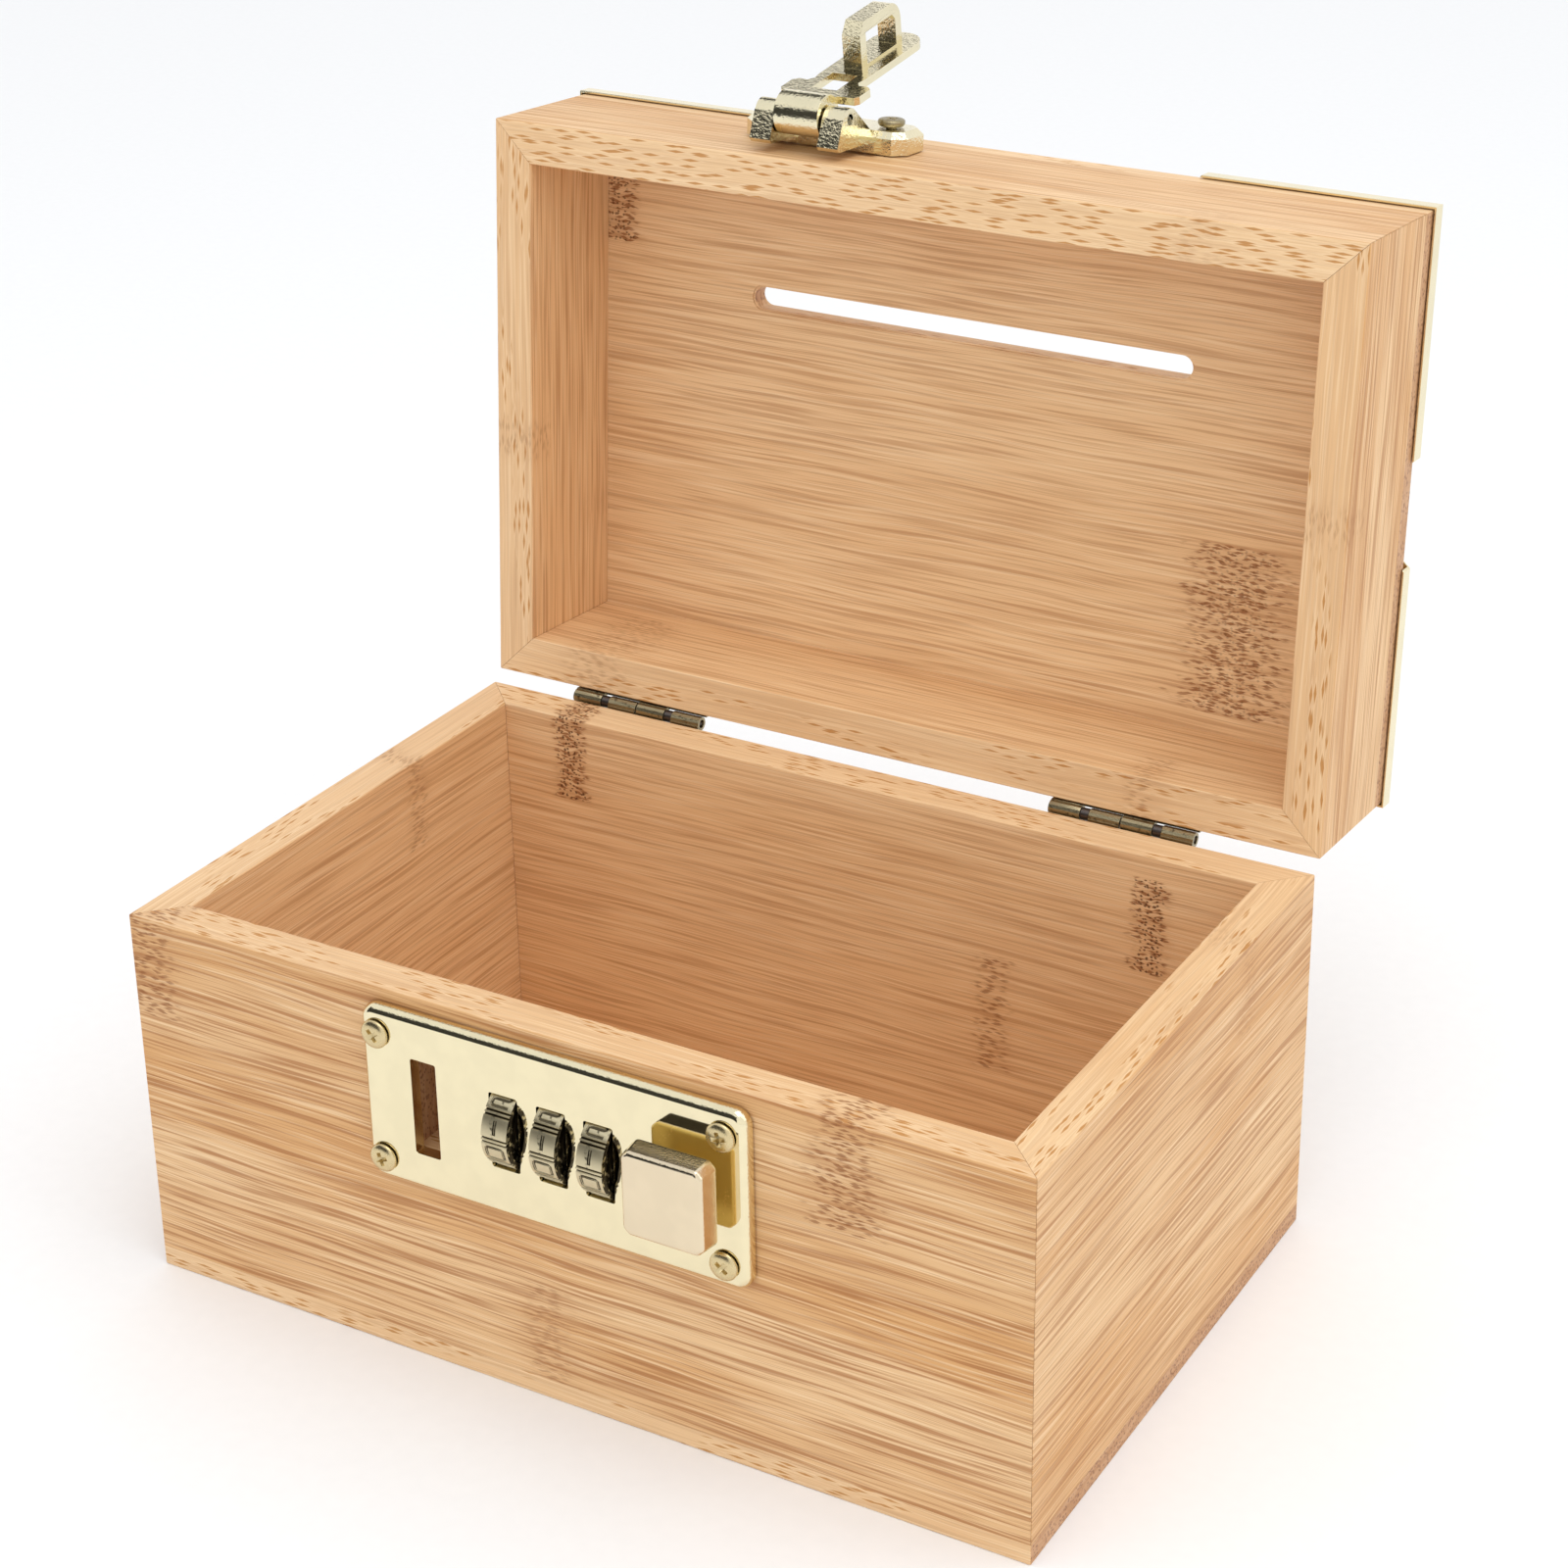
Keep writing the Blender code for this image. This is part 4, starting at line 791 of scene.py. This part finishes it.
def engraver(path, turn):
    """A stroke bent along the rim, for cutting one line of a digit."""
    curve = bpy.data.curves.new("stroke", "CURVE")
    curve.dimensions = "3D"
    curve.bevel_depth = STROKE_RADIUS * MM
    curve.bevel_resolution = 2
    curve.use_fill_caps = True
    spline = curve.splines.new("POLY")
    corners = [STROKE[letter] for letter in path]
    points = []
    for (x0, y0), (x1, y1) in zip(corners, corners[1:]):
        points += [(x0 + (x1 - x0) * part, y0 + (y1 - y0) * part) for part in (0.12, 0.5, 0.88)]
    closed = path[0] == path[-1]
    if not closed:
        points = [corners[0]] + points + [corners[-1]]
    spline.points.add(len(points) - 1)
    for point, (x, y) in zip(spline.points, points):
        point.co = (*on_rim(x * DIGIT_HALF[0], y * DIGIT_HALF[1], turn), 1.0)
    spline.use_cyclic_u = closed
    source = bpy.data.objects.new("stroke", curve)
    bpy.context.scene.collection.objects.link(source)
    graph = bpy.context.evaluated_depsgraph_get()
    mesh = bpy.data.meshes.new_from_object(source.evaluated_get(graph))
    bpy.data.objects.remove(source)
    shape = bmesh.new()
    shape.from_mesh(mesh)
    bmesh.ops.remove_doubles(shape, verts=shape.verts, dist=MERGE * MM)
    bmesh.ops.recalc_face_normals(shape, faces=shape.faces)
    return new_piece("stroke", shape)


wheel = outline("wheel_pattern", [rim_loop(), circle(WHEEL_BORE)], WHEEL_WIDTH, "X")
ease(wheel, 0.28, 2, 60.0)
for side in (-1, 1):
    dish = outline("dish_cut", [circle(DISH[0]), circle(DISH[1])], DISH[2], "X",
                   (side * WHEEL_WIDTH / 2, 0.0, 0.0))
    work(wheel, "DIFFERENCE", dish)
for digit, paths in enumerate(DIGITS):
    for path in paths:
        work(wheel, "DIFFERENCE", engraver(path, LOWEST_LAND + LAND * digit))
wheel.data.materials.clear()
wheel.data.materials.append(brass_with_patina("antique_brass"))
soften(wheel, 38.0)
for number, middle in enumerate(wheel_middles, 1):
    copy = bpy.data.objects.new(f"engraved_wheel_{number}", wheel.data.copy())
    bpy.context.scene.collection.objects.link(copy)
    hang(copy, f"wheel_{number}", f"number_wheel_{number}", place=middle)
bpy.data.objects.remove(wheel)

# ---------------------------------------------------------------------------------------------
# Knob. A square gilt casting with clipped corners and broad chamfers, on a neck that slides in the
# plate; a screw from behind ties it to the bolt.
# ---------------------------------------------------------------------------------------------
KNOB_CLIP = 1.4
KNOB_THICK = 5.2
KNOB_DRAFT = 0.4
NECK = ((24.2, 32.8), (57.15, 63.35))
gilt_button = metal("gilt_button", (0.800, 0.675, 0.480, 1.0), 0.05, 4.0, flat=(0, 1, 0))
# The back of the knob and its neck get a warmer, mostly diffuse gold of their own: painted bounce light, so
# that the polished plate mirrors them golden rather than dark.
knob_back_painted_bounce = metal("gilt_knob_back_painted_bounce", (0.900, 0.690, 0.270, 1.0), 0.25, 1.0, metallic=0.25)
knob_low, knob_high = shut_span("lock_knob")
knob_face = knob_low.y
knob_back = knob_face + KNOB_THICK
knob_middle = middle_of(knob_low, knob_high)
knob_loop = rounded((knob_middle.x, knob_middle.z), (knob_high.x - knob_low.x, knob_high.z - knob_low.z),
                    KNOB_CLIP, 1)
halfway = knob_face + KNOB_THICK / 2
knob = outline("gilt_knob", [knob_loop], KNOB_THICK, "-Y", (0.0, halfway, 0.0))
for vertex in knob.data.vertices:
    if vertex.co.y < halfway * MM:
        vertex.co.x -= math.copysign(KNOB_DRAFT * MM, vertex.co.x - knob_middle.x * MM)
        vertex.co.z -= math.copysign(KNOB_DRAFT * MM, vertex.co.z - knob_middle.z * MM)
ease(knob, 0.9, 4, 60.0)
ease(knob, 0.35, 2, 30.0)
neck = block("neck", NECK[0], (knob_back - 1.0, FRONT + 0.2), NECK[1])
ease(neck, 0.3, 2)
work(knob, "UNION", neck)
knob.data.materials.clear()
knob.data.materials.append(gilt_button)
knob.data.materials.append(knob_back_painted_bounce)
# Faces on the back and on the neck take the painted bounce light.
for face in knob.data.polygons:
    if face.normal.y > 0.5 or face.center.y > (knob_back + 0.1) * MM:
        face.material_index = 1
hang(soften(knob, 25.0), "lock_slider", "lock_knob")

# ---------------------------------------------------------------------------------------------
# Lock works. A zinc case with a pressed cover let into the wall, a round bolt, a spring that
# clicks the wheels round, and the plain screws that hold them.
# ---------------------------------------------------------------------------------------------
zinc = metal("zinc_casting", (0.62, 0.63, 0.62, 1.0), 0.33, 0.8, 0.5, 0.15, (0.28, 0.28, 0.28, 1.0))
steel = metal("bright_steel", (0.60, 0.60, 0.61, 1.0), 0.25, 0.3, 0.4)


def dress(node, material, width=0.15):
    """Keep a plain solid, with its corners broken and a finish of its own."""
    solid = frame["nodes"][node]
    solid.material_slots[0].material = material
    weld = solid.modifiers.new("weld", "WELD")
    weld.merge_threshold = MERGE * MM
    bevel = solid.modifiers.new("broken_edges", "BEVEL")
    bevel.width = width * MM
    bevel.segments = 2
    bevel.limit_method = "ANGLE"
    bevel.angle_limit = math.radians(50.0)
    return solid


for node in ("lock_case", "back_cover", "lock_bolt", "code_sleeve_1", "code_sleeve_2", "code_sleeve_3"):
    dress(node, zinc)
dress("detent_spring", steel, 0.08)
COVER_HEAD = 0.9
cover_profile = [(0.0, 0.9), (0.9, 0.86), (1.5, 0.62), (1.85, 0.25), (1.9, 0.0), (0.8, 0.0), (0.8, -4.2),
                 (0.0, -5.4)]
cover_screw = cross_screw("cover_screw_pattern", cover_profile, 1.1, 0.28, 0.6, steel)
for number, roll in enumerate((15, 48), 1):
    drive(cover_screw, f"steel_cover_screw_{number}", f"cover_screw_{number}", "box", COVER_HEAD, "Y",
          roll)
bpy.data.objects.remove(cover_screw)
dress("knob_screw", steel, 0.08)

# ---------------------------------------------------------------------------------------------
# Butt hinges. Two stamped leaves each, their knuckles rolled round a pin, antique bronze; the
# small cross-head screws go into the back of the box and of the lid.
# ---------------------------------------------------------------------------------------------
bronze = metal("antique_bronze", (0.36, 0.30, 0.18, 1.0), 0.30, 7.0, 0.32, 0.16, (0.07, 0.055, 0.035, 1.0))
# Blackened steel for the pins, also used for the painted shade in the gaps between the knuckles.
pin_steel_and_gap_shade = metal("blackened_pin_and_gap_shade", (0.13, 0.11, 0.10, 1.0), 0.38, 1.2, 0.4)
PIN = 0.65
GAP_SHADE_COLLAR = 1.35
KNUCKLE_GAP = (7.2, 9.3)
for hand in ("left", "right"):
    dress(f"{hand}_hinge_box_leaf", bronze, 0.12)
    dress(f"{hand}_hinge_lid_leaf", bronze, 0.12)
    pin_low, pin_high = shut_span(f"{hand}_hinge_pin")
    pin_middle = middle_of(pin_low, pin_high)
    half = (pin_high.x - pin_low.x) / 2
    # Dark collars on each pin fill the gaps between the knuckles: painted shade in those gaps, not a part of
    # the hinge.
    gap_shade_span = (KNUCKLE_GAP[1] - 0.15, KNUCKLE_GAP[0] + 0.15)
    profile = [(0.0, half), (PIN * 0.6, half - 0.08), (PIN, half - 0.35), (PIN, gap_shade_span[0]),
               (GAP_SHADE_COLLAR, gap_shade_span[0]), (GAP_SHADE_COLLAR, gap_shade_span[1]), (PIN, gap_shade_span[1])]
    profile += [(radius, -height) for radius, height in reversed(profile)]
    pin = turned(f"blackened_{hand}_hinge_pin", profile, 24)
    pin.data.transform(TURN["X"])
    pin.data.materials.append(pin_steel_and_gap_shade)
    hang(soften(pin, 40.0), "box", f"{hand}_hinge_pin", place=pin_middle)
HINGE_HEAD = 0.8
hinge_profile = [(0.0, 0.8), (0.9, 0.76), (1.45, 0.55), (1.75, 0.25), (1.8, 0.0), (0.8, 0.0), (0.8, -5.3),
                 (0.0, -7.0)]
hinge_screw = cross_screw("hinge_screw_pattern", hinge_profile, 1.1, 0.26, 0.55, bronze)
for number, roll in enumerate((10, 55, 31, 72), 1):
    for body in ("box", "lid"):
        drive(hinge_screw, f"bronze_{body}_screw_{number}", f"{body}_hinge_screw_{number}", body,
              HINGE_HEAD, "Y", roll)
bpy.data.objects.remove(hinge_screw)

# ---------------------------------------------------------------------------------------------
# Hasp base. A gilt casting on the lid's front: two wings with chamfered ends, and two hooked ears
# that hold the leaf's pin. Bronzed cross-head screws stand on the wings.
# ---------------------------------------------------------------------------------------------
hasp_axis = lid_open.inverted() @ hasp_pin / MM
HASP_X = hasp_axis.x
RIM = hasp_axis.z - 8.0
WING = 19.35
BASE_RISE = (14.4, 26.5)
BASE_FACE = 5.0
BASE_FOOT = 3.0
CORNER_CUT = 2.6
EAR = (5.6, 10.5)
BARREL_RADIUS = 4.6
BARREL_HALF = 5.2
PIN_RADIUS = 1.3
gilt_cast = metal("gilt_casting", (0.840, 0.760, 0.530, 1.0), 0.12, 11.0, 0.75)


def edge_on(points):
    """Turn (rise, distance off the face) pairs into the outline of a piece extruded along X."""
    return [(-rise, -off) for rise, off in points]


wing_x, wing_z = (HASP_X - WING, HASP_X + WING), (RIM + BASE_RISE[0], RIM + BASE_RISE[1])
octagon = [(wing_x[0] + CORNER_CUT, wing_z[0]), (wing_x[1] - CORNER_CUT, wing_z[0]),
           (wing_x[1], wing_z[0] + CORNER_CUT), (wing_x[1], wing_z[1] - CORNER_CUT),
           (wing_x[1] - CORNER_CUT, wing_z[1]), (wing_x[0] + CORNER_CUT, wing_z[1]),
           (wing_x[0], wing_z[1] - CORNER_CUT), (wing_x[0], wing_z[0] + CORNER_CUT)]
hasp_base = outline("gilt_hasp_base", [octagon], BASE_FACE + BASE_FOOT, "-Y",
                    (0.0, FRONT - (BASE_FACE - BASE_FOOT) / 2, 0.0))
ease(hasp_base, 1.3, 1, 60.0)
foot_cut = block("foot_cut", (wing_x[0] - CUT_PAST, wing_x[1] + CUT_PAST),
                 (FRONT - 0.3, FRONT + 2 * BASE_FOOT), (wing_z[0] - CUT_PAST, wing_z[1] + CUT_PAST))
work(hasp_base, "DIFFERENCE", foot_cut)
ear_loop = [(BASE_RISE[0] + 4.0, 0.8), (BASE_RISE[0] - 0.6, 0.8), (BASE_RISE[0] - 0.6, 2.0), (3.6, 2.0),
            (2.9, 2.8), (4.9, 8.4)]
ear_loop += arc((8.0, 7.6), 3.0, 155, 55, 12)
ear_loop += [(BASE_RISE[0] + 2.6, BASE_FACE - 0.4), (BASE_RISE[0] + 4.0, BASE_FACE - 0.4)]
WEB_X = (EAR[1] - 0.5, EAR[1] + 3.2)
WEB_Z = (RIM + 12.6, RIM + 17.0)
for side in (-1, 1):
    middle = (HASP_X + side * (EAR[0] + EAR[1]) / 2, FRONT, RIM)
    work(hasp_base, "UNION", outline("ear", [edge_on(ear_loop)], EAR[1] - EAR[0], "X", middle))
    inner, outer = HASP_X + side * WEB_X[0], HASP_X + side * WEB_X[1]
    corners = [(inner, WEB_Z[1]), (outer, WEB_Z[1]), (outer, WEB_Z[0]), (inner, WEB_Z[0])]
    work(hasp_base, "UNION", outline("web", [corners], 2.6, "-Y", (0.0, FRONT - 2.1, 0.0)))
ease(hasp_base, 0.22, 2, 25.0)
hasp_base.data.materials.clear()
hasp_base.data.materials.append(gilt_cast)
hang(soften(hasp_base, 25.0), "lid", "hasp_base")
dress("hasp_pin", bronze, 0.1)

# ---------------------------------------------------------------------------------------------
# Hasp leaf. One gilt casting: a barrel on the pin, a flat blade with side wings and a window, and
# the staple whose eye the bolt's nose enters.
# ---------------------------------------------------------------------------------------------
BLADE = (0.9, 2.6)
BLADE_HALF = 5.6
BLADE_NOSE = 39.0
BLADE_TIP = 44.5
STAPLE_REACH = (20.6, 38.5)
STAPLE_HEIGHT = 10.0
STAPLE_WIDE = 4.4
STAPLE_BEND = 4.5
EYE_REACH = (23.1, 36.0)
EYE_HEIGHT = (0.5, 7.4)
EYE_CUT = 1.2
right_edge = [(4.4, 2.2), (4.8, 5.0), (8.7, 5.2), (9.4, 6.3), (9.4, 10.9), (8.2, 12.1), (6.2, 11.9),
              (5.2, 13.4), (BLADE_HALF, 15.6), (BLADE_HALF, BLADE_NOSE)]
for degrees in range(10, 90, 10):
    turn = math.radians(degrees)
    right_edge.append((BLADE_HALF * math.cos(turn),
                       BLADE_NOSE + (BLADE_TIP - BLADE_NOSE) * math.sin(turn)))
blade_loop = [(x, -reach) for x, reach in right_edge] + [(-x, -reach) for x, reach in reversed(right_edge)]
window = [(-3.0, -17.2), (3.0, -17.2), (3.0, -8.1), (-3.0, -8.1)]
leaf = outline("gilt_hasp_leaf", [blade_loop, window], BLADE[1] - BLADE[0], "-Y", (0.0, sum(BLADE) / 2, 0.0))
work(leaf, "UNION", outline("barrel", [circle(BARREL_RADIUS)], BARREL_HALF * 2, "X"))
foot, top = BLADE[1] - 0.6, BLADE[1] + STAPLE_HEIGHT
staple_loop = [(STAPLE_REACH[0], foot), (STAPLE_REACH[0], top - 2.8), (STAPLE_REACH[0] + 2.0, top)]
staple_loop += arc((STAPLE_REACH[1] - STAPLE_BEND, top - STAPLE_BEND), STAPLE_BEND, 90, 0, 14)
staple_loop += [(STAPLE_REACH[1], foot)]
eye_low, eye_high = BLADE[1] + EYE_HEIGHT[0], BLADE[1] + EYE_HEIGHT[1]
eye = [(EYE_REACH[0], eye_low), (EYE_REACH[1], eye_low), (EYE_REACH[1], eye_high - EYE_CUT),
       (EYE_REACH[1] - EYE_CUT, eye_high), (EYE_REACH[0], eye_high)]
work(leaf, "UNION", outline("staple", [staple_loop, eye], STAPLE_WIDE, "X"))
work(leaf, "DIFFERENCE", outline("bore", [circle(PIN_RADIUS + 0.3, 32)], BARREL_HALF * 2 + CUT_PAST, "X"))
ease(leaf, 0.25, 2, 30.0)
leaf.data.materials.clear()
leaf.data.materials.append(gilt_cast)
hang(soften(leaf, 28.0), "hasp_leaf", "hasp_leaf")

HASP_HEAD = 1.9
hasp_profile = [(0.0, 1.5), (2.45, 1.46), (2.75, 1.3), (2.88, 1.05), (2.88, 0.55), (2.6, 0.1), (2.5, 0.0),
                (1.2, 0.0), (1.2, -8.0), (0.0, -10.4)]
hasp_screw = cross_screw("hasp_screw_pattern", hasp_profile, 1.85, 0.40, 0.9, bronze)
for hand, roll in (("left", 20), ("right", 62)):
    drive(hasp_screw, f"bronze_{hand}_hasp_screw", f"{hand}_hasp_screw", "lid", HASP_HEAD, "-Y",
          roll)
bpy.data.objects.remove(hasp_screw)

# ---------------------------------------------------------------------------------------------
# Corner plates. Thin gilt stampings over the lid's corners, each held by two dome-headed nails.
# ---------------------------------------------------------------------------------------------
gilt_sheet = metal("gilt_sheet", GILT, 0.16, 0.25, 0.5)
for corner in ("front_left", "front_right", "back_left", "back_right"):
    dress(f"{corner}_corner_plate", gilt_sheet, 0.15)
NAIL_HEAD = 0.7
nail_profile = [(0.0, 0.7), (0.5, 0.66), (0.9, 0.5), (1.2, 0.24), (1.3, 0.0), (0.5, 0.0), (0.5, -4.0),
                (0.0, -5.5)]
for number in range(1, 9):
    nail = turned("nail", nail_profile, 24)
    nail.data.materials.append(gilt_sheet)
    soften(nail)
    drive(nail, f"gilt_nail_{number}", f"corner_nail_{number}", "lid", NAIL_HEAD, "Z", 0.0)
    bpy.data.objects.remove(nail)

# ---------------------------------------------------------------------------------------------
# Floor, light and camera. A white floor that runs out of sight, a bright room with two soft lights,
# and two dark cards, before and behind the box, for the polished metal to mirror.
# ---------------------------------------------------------------------------------------------
shape = bmesh.new()
bmesh.ops.create_grid(shape, x_segments=1, y_segments=1, size=6.0)
floor = new_piece("floor", shape)
paper, wire = new_material("white_paper", Specular_IOR_Level=0.1)
point = wire.node("TexCoord", output="Object")
pulp = wire.node("TexNoise", None, {"Vector": point, "Scale": 300.0})
feed(paper, pulp.blend((0.90, 0.90, 0.90, 1.0), (0.93, 0.93, 0.93, 1.0)), pulp * 0.1 + 0.8)
floor.data.materials.append(paper)

world = bpy.data.worlds.new("room")
world.use_nodes = True
bpy.context.scene.world = world
sky = Wire(world.node_tree)
way = sky.node("TexCoord", output="Generated")
height = sky.node("SeparateXYZ", None, {0: way}, 2)
room = height.ramp(0.2, 1.0).blend((1.0, 1.0, 1.0, 1.0), (0.90, 0.92, 0.95, 1.0))
background = world.node_tree.nodes["Background"]
world.node_tree.links.new(room.socket, background.inputs["Color"])
background.inputs["Strength"].default_value = 1.04


MIDDLE = Vector((0.0, 0.0, 0.10))


def turn_to_box(thing, place, face):
    """Put a card or a light at a place, its face towards the middle of the box."""
    thing.location = place
    thing.rotation_euler = (MIDDLE - Vector(place)).to_track_quat(face, "Y").to_euler()


def mirrored_card(name, place, size, shade):
    """A card that only polished surfaces see."""
    shape = bmesh.new()
    bmesh.ops.create_grid(shape, x_segments=1, y_segments=1, size=0.5)
    bmesh.ops.scale(shape, vec=(size[0], size[1], 1.0), verts=shape.verts)
    card = new_piece(name, shape)
    turn_to_box(card, place, "Z")
    material, wire = new_material(name, Specular_IOR_Level=0.0)
    cloth = wire.node("TexNoise", None, {"Vector": wire.node("TexCoord", output="Object"), "Scale": 9.0})
    faded = (shade * 1.4, shade * 1.4, shade * 1.3, 1.0)
    feed(material, cloth.blend((shade, shade, shade, 1.0), faded), cloth * 0.1 + 0.85)
    card.data.materials.append(material)
    card.visible_camera = False
    card.visible_diffuse = False
    card.visible_shadow = False
    card.visible_transmission = False


mirrored_card("front_card", (-0.45, -0.85, 0.40), (1.5, 0.80), 0.035)
mirrored_card("back_card", (-0.50, 0.48, 0.70), (0.50, 0.34), 0.05)


def softbox(name, place, size, power):
    lamp = bpy.data.lights.new(name, "AREA")
    lamp.shape = "RECTANGLE"
    lamp.size = size
    lamp.size_y = size
    lamp.energy = power
    holder = bpy.data.objects.new(name, lamp)
    bpy.context.scene.collection.objects.link(holder)
    turn_to_box(holder, place, "-Z")


softbox("overhead", (0.30, -0.20, 1.15), 0.8, 3.4)
softbox("right_inside", (0.9, 0.1, 0.8), 0.6, 0.8)

lens = bpy.data.cameras.new("camera")
lens.lens = 75.8184
lens.sensor_width = 36.0
lens.shift_x = -0.042044
lens.shift_y = -0.092314
lens.clip_start = 0.01
camera = bpy.data.objects.new("camera", lens)
camera.location = (0.307488, -0.496310, 0.392696)
camera.rotation_euler = (math.radians(66.3607), math.radians(0.45249), math.radians(29.13173))
bpy.context.scene.collection.objects.link(camera)
bpy.context.scene.camera = camera
bpy.context.scene.view_settings.view_transform = "Standard"
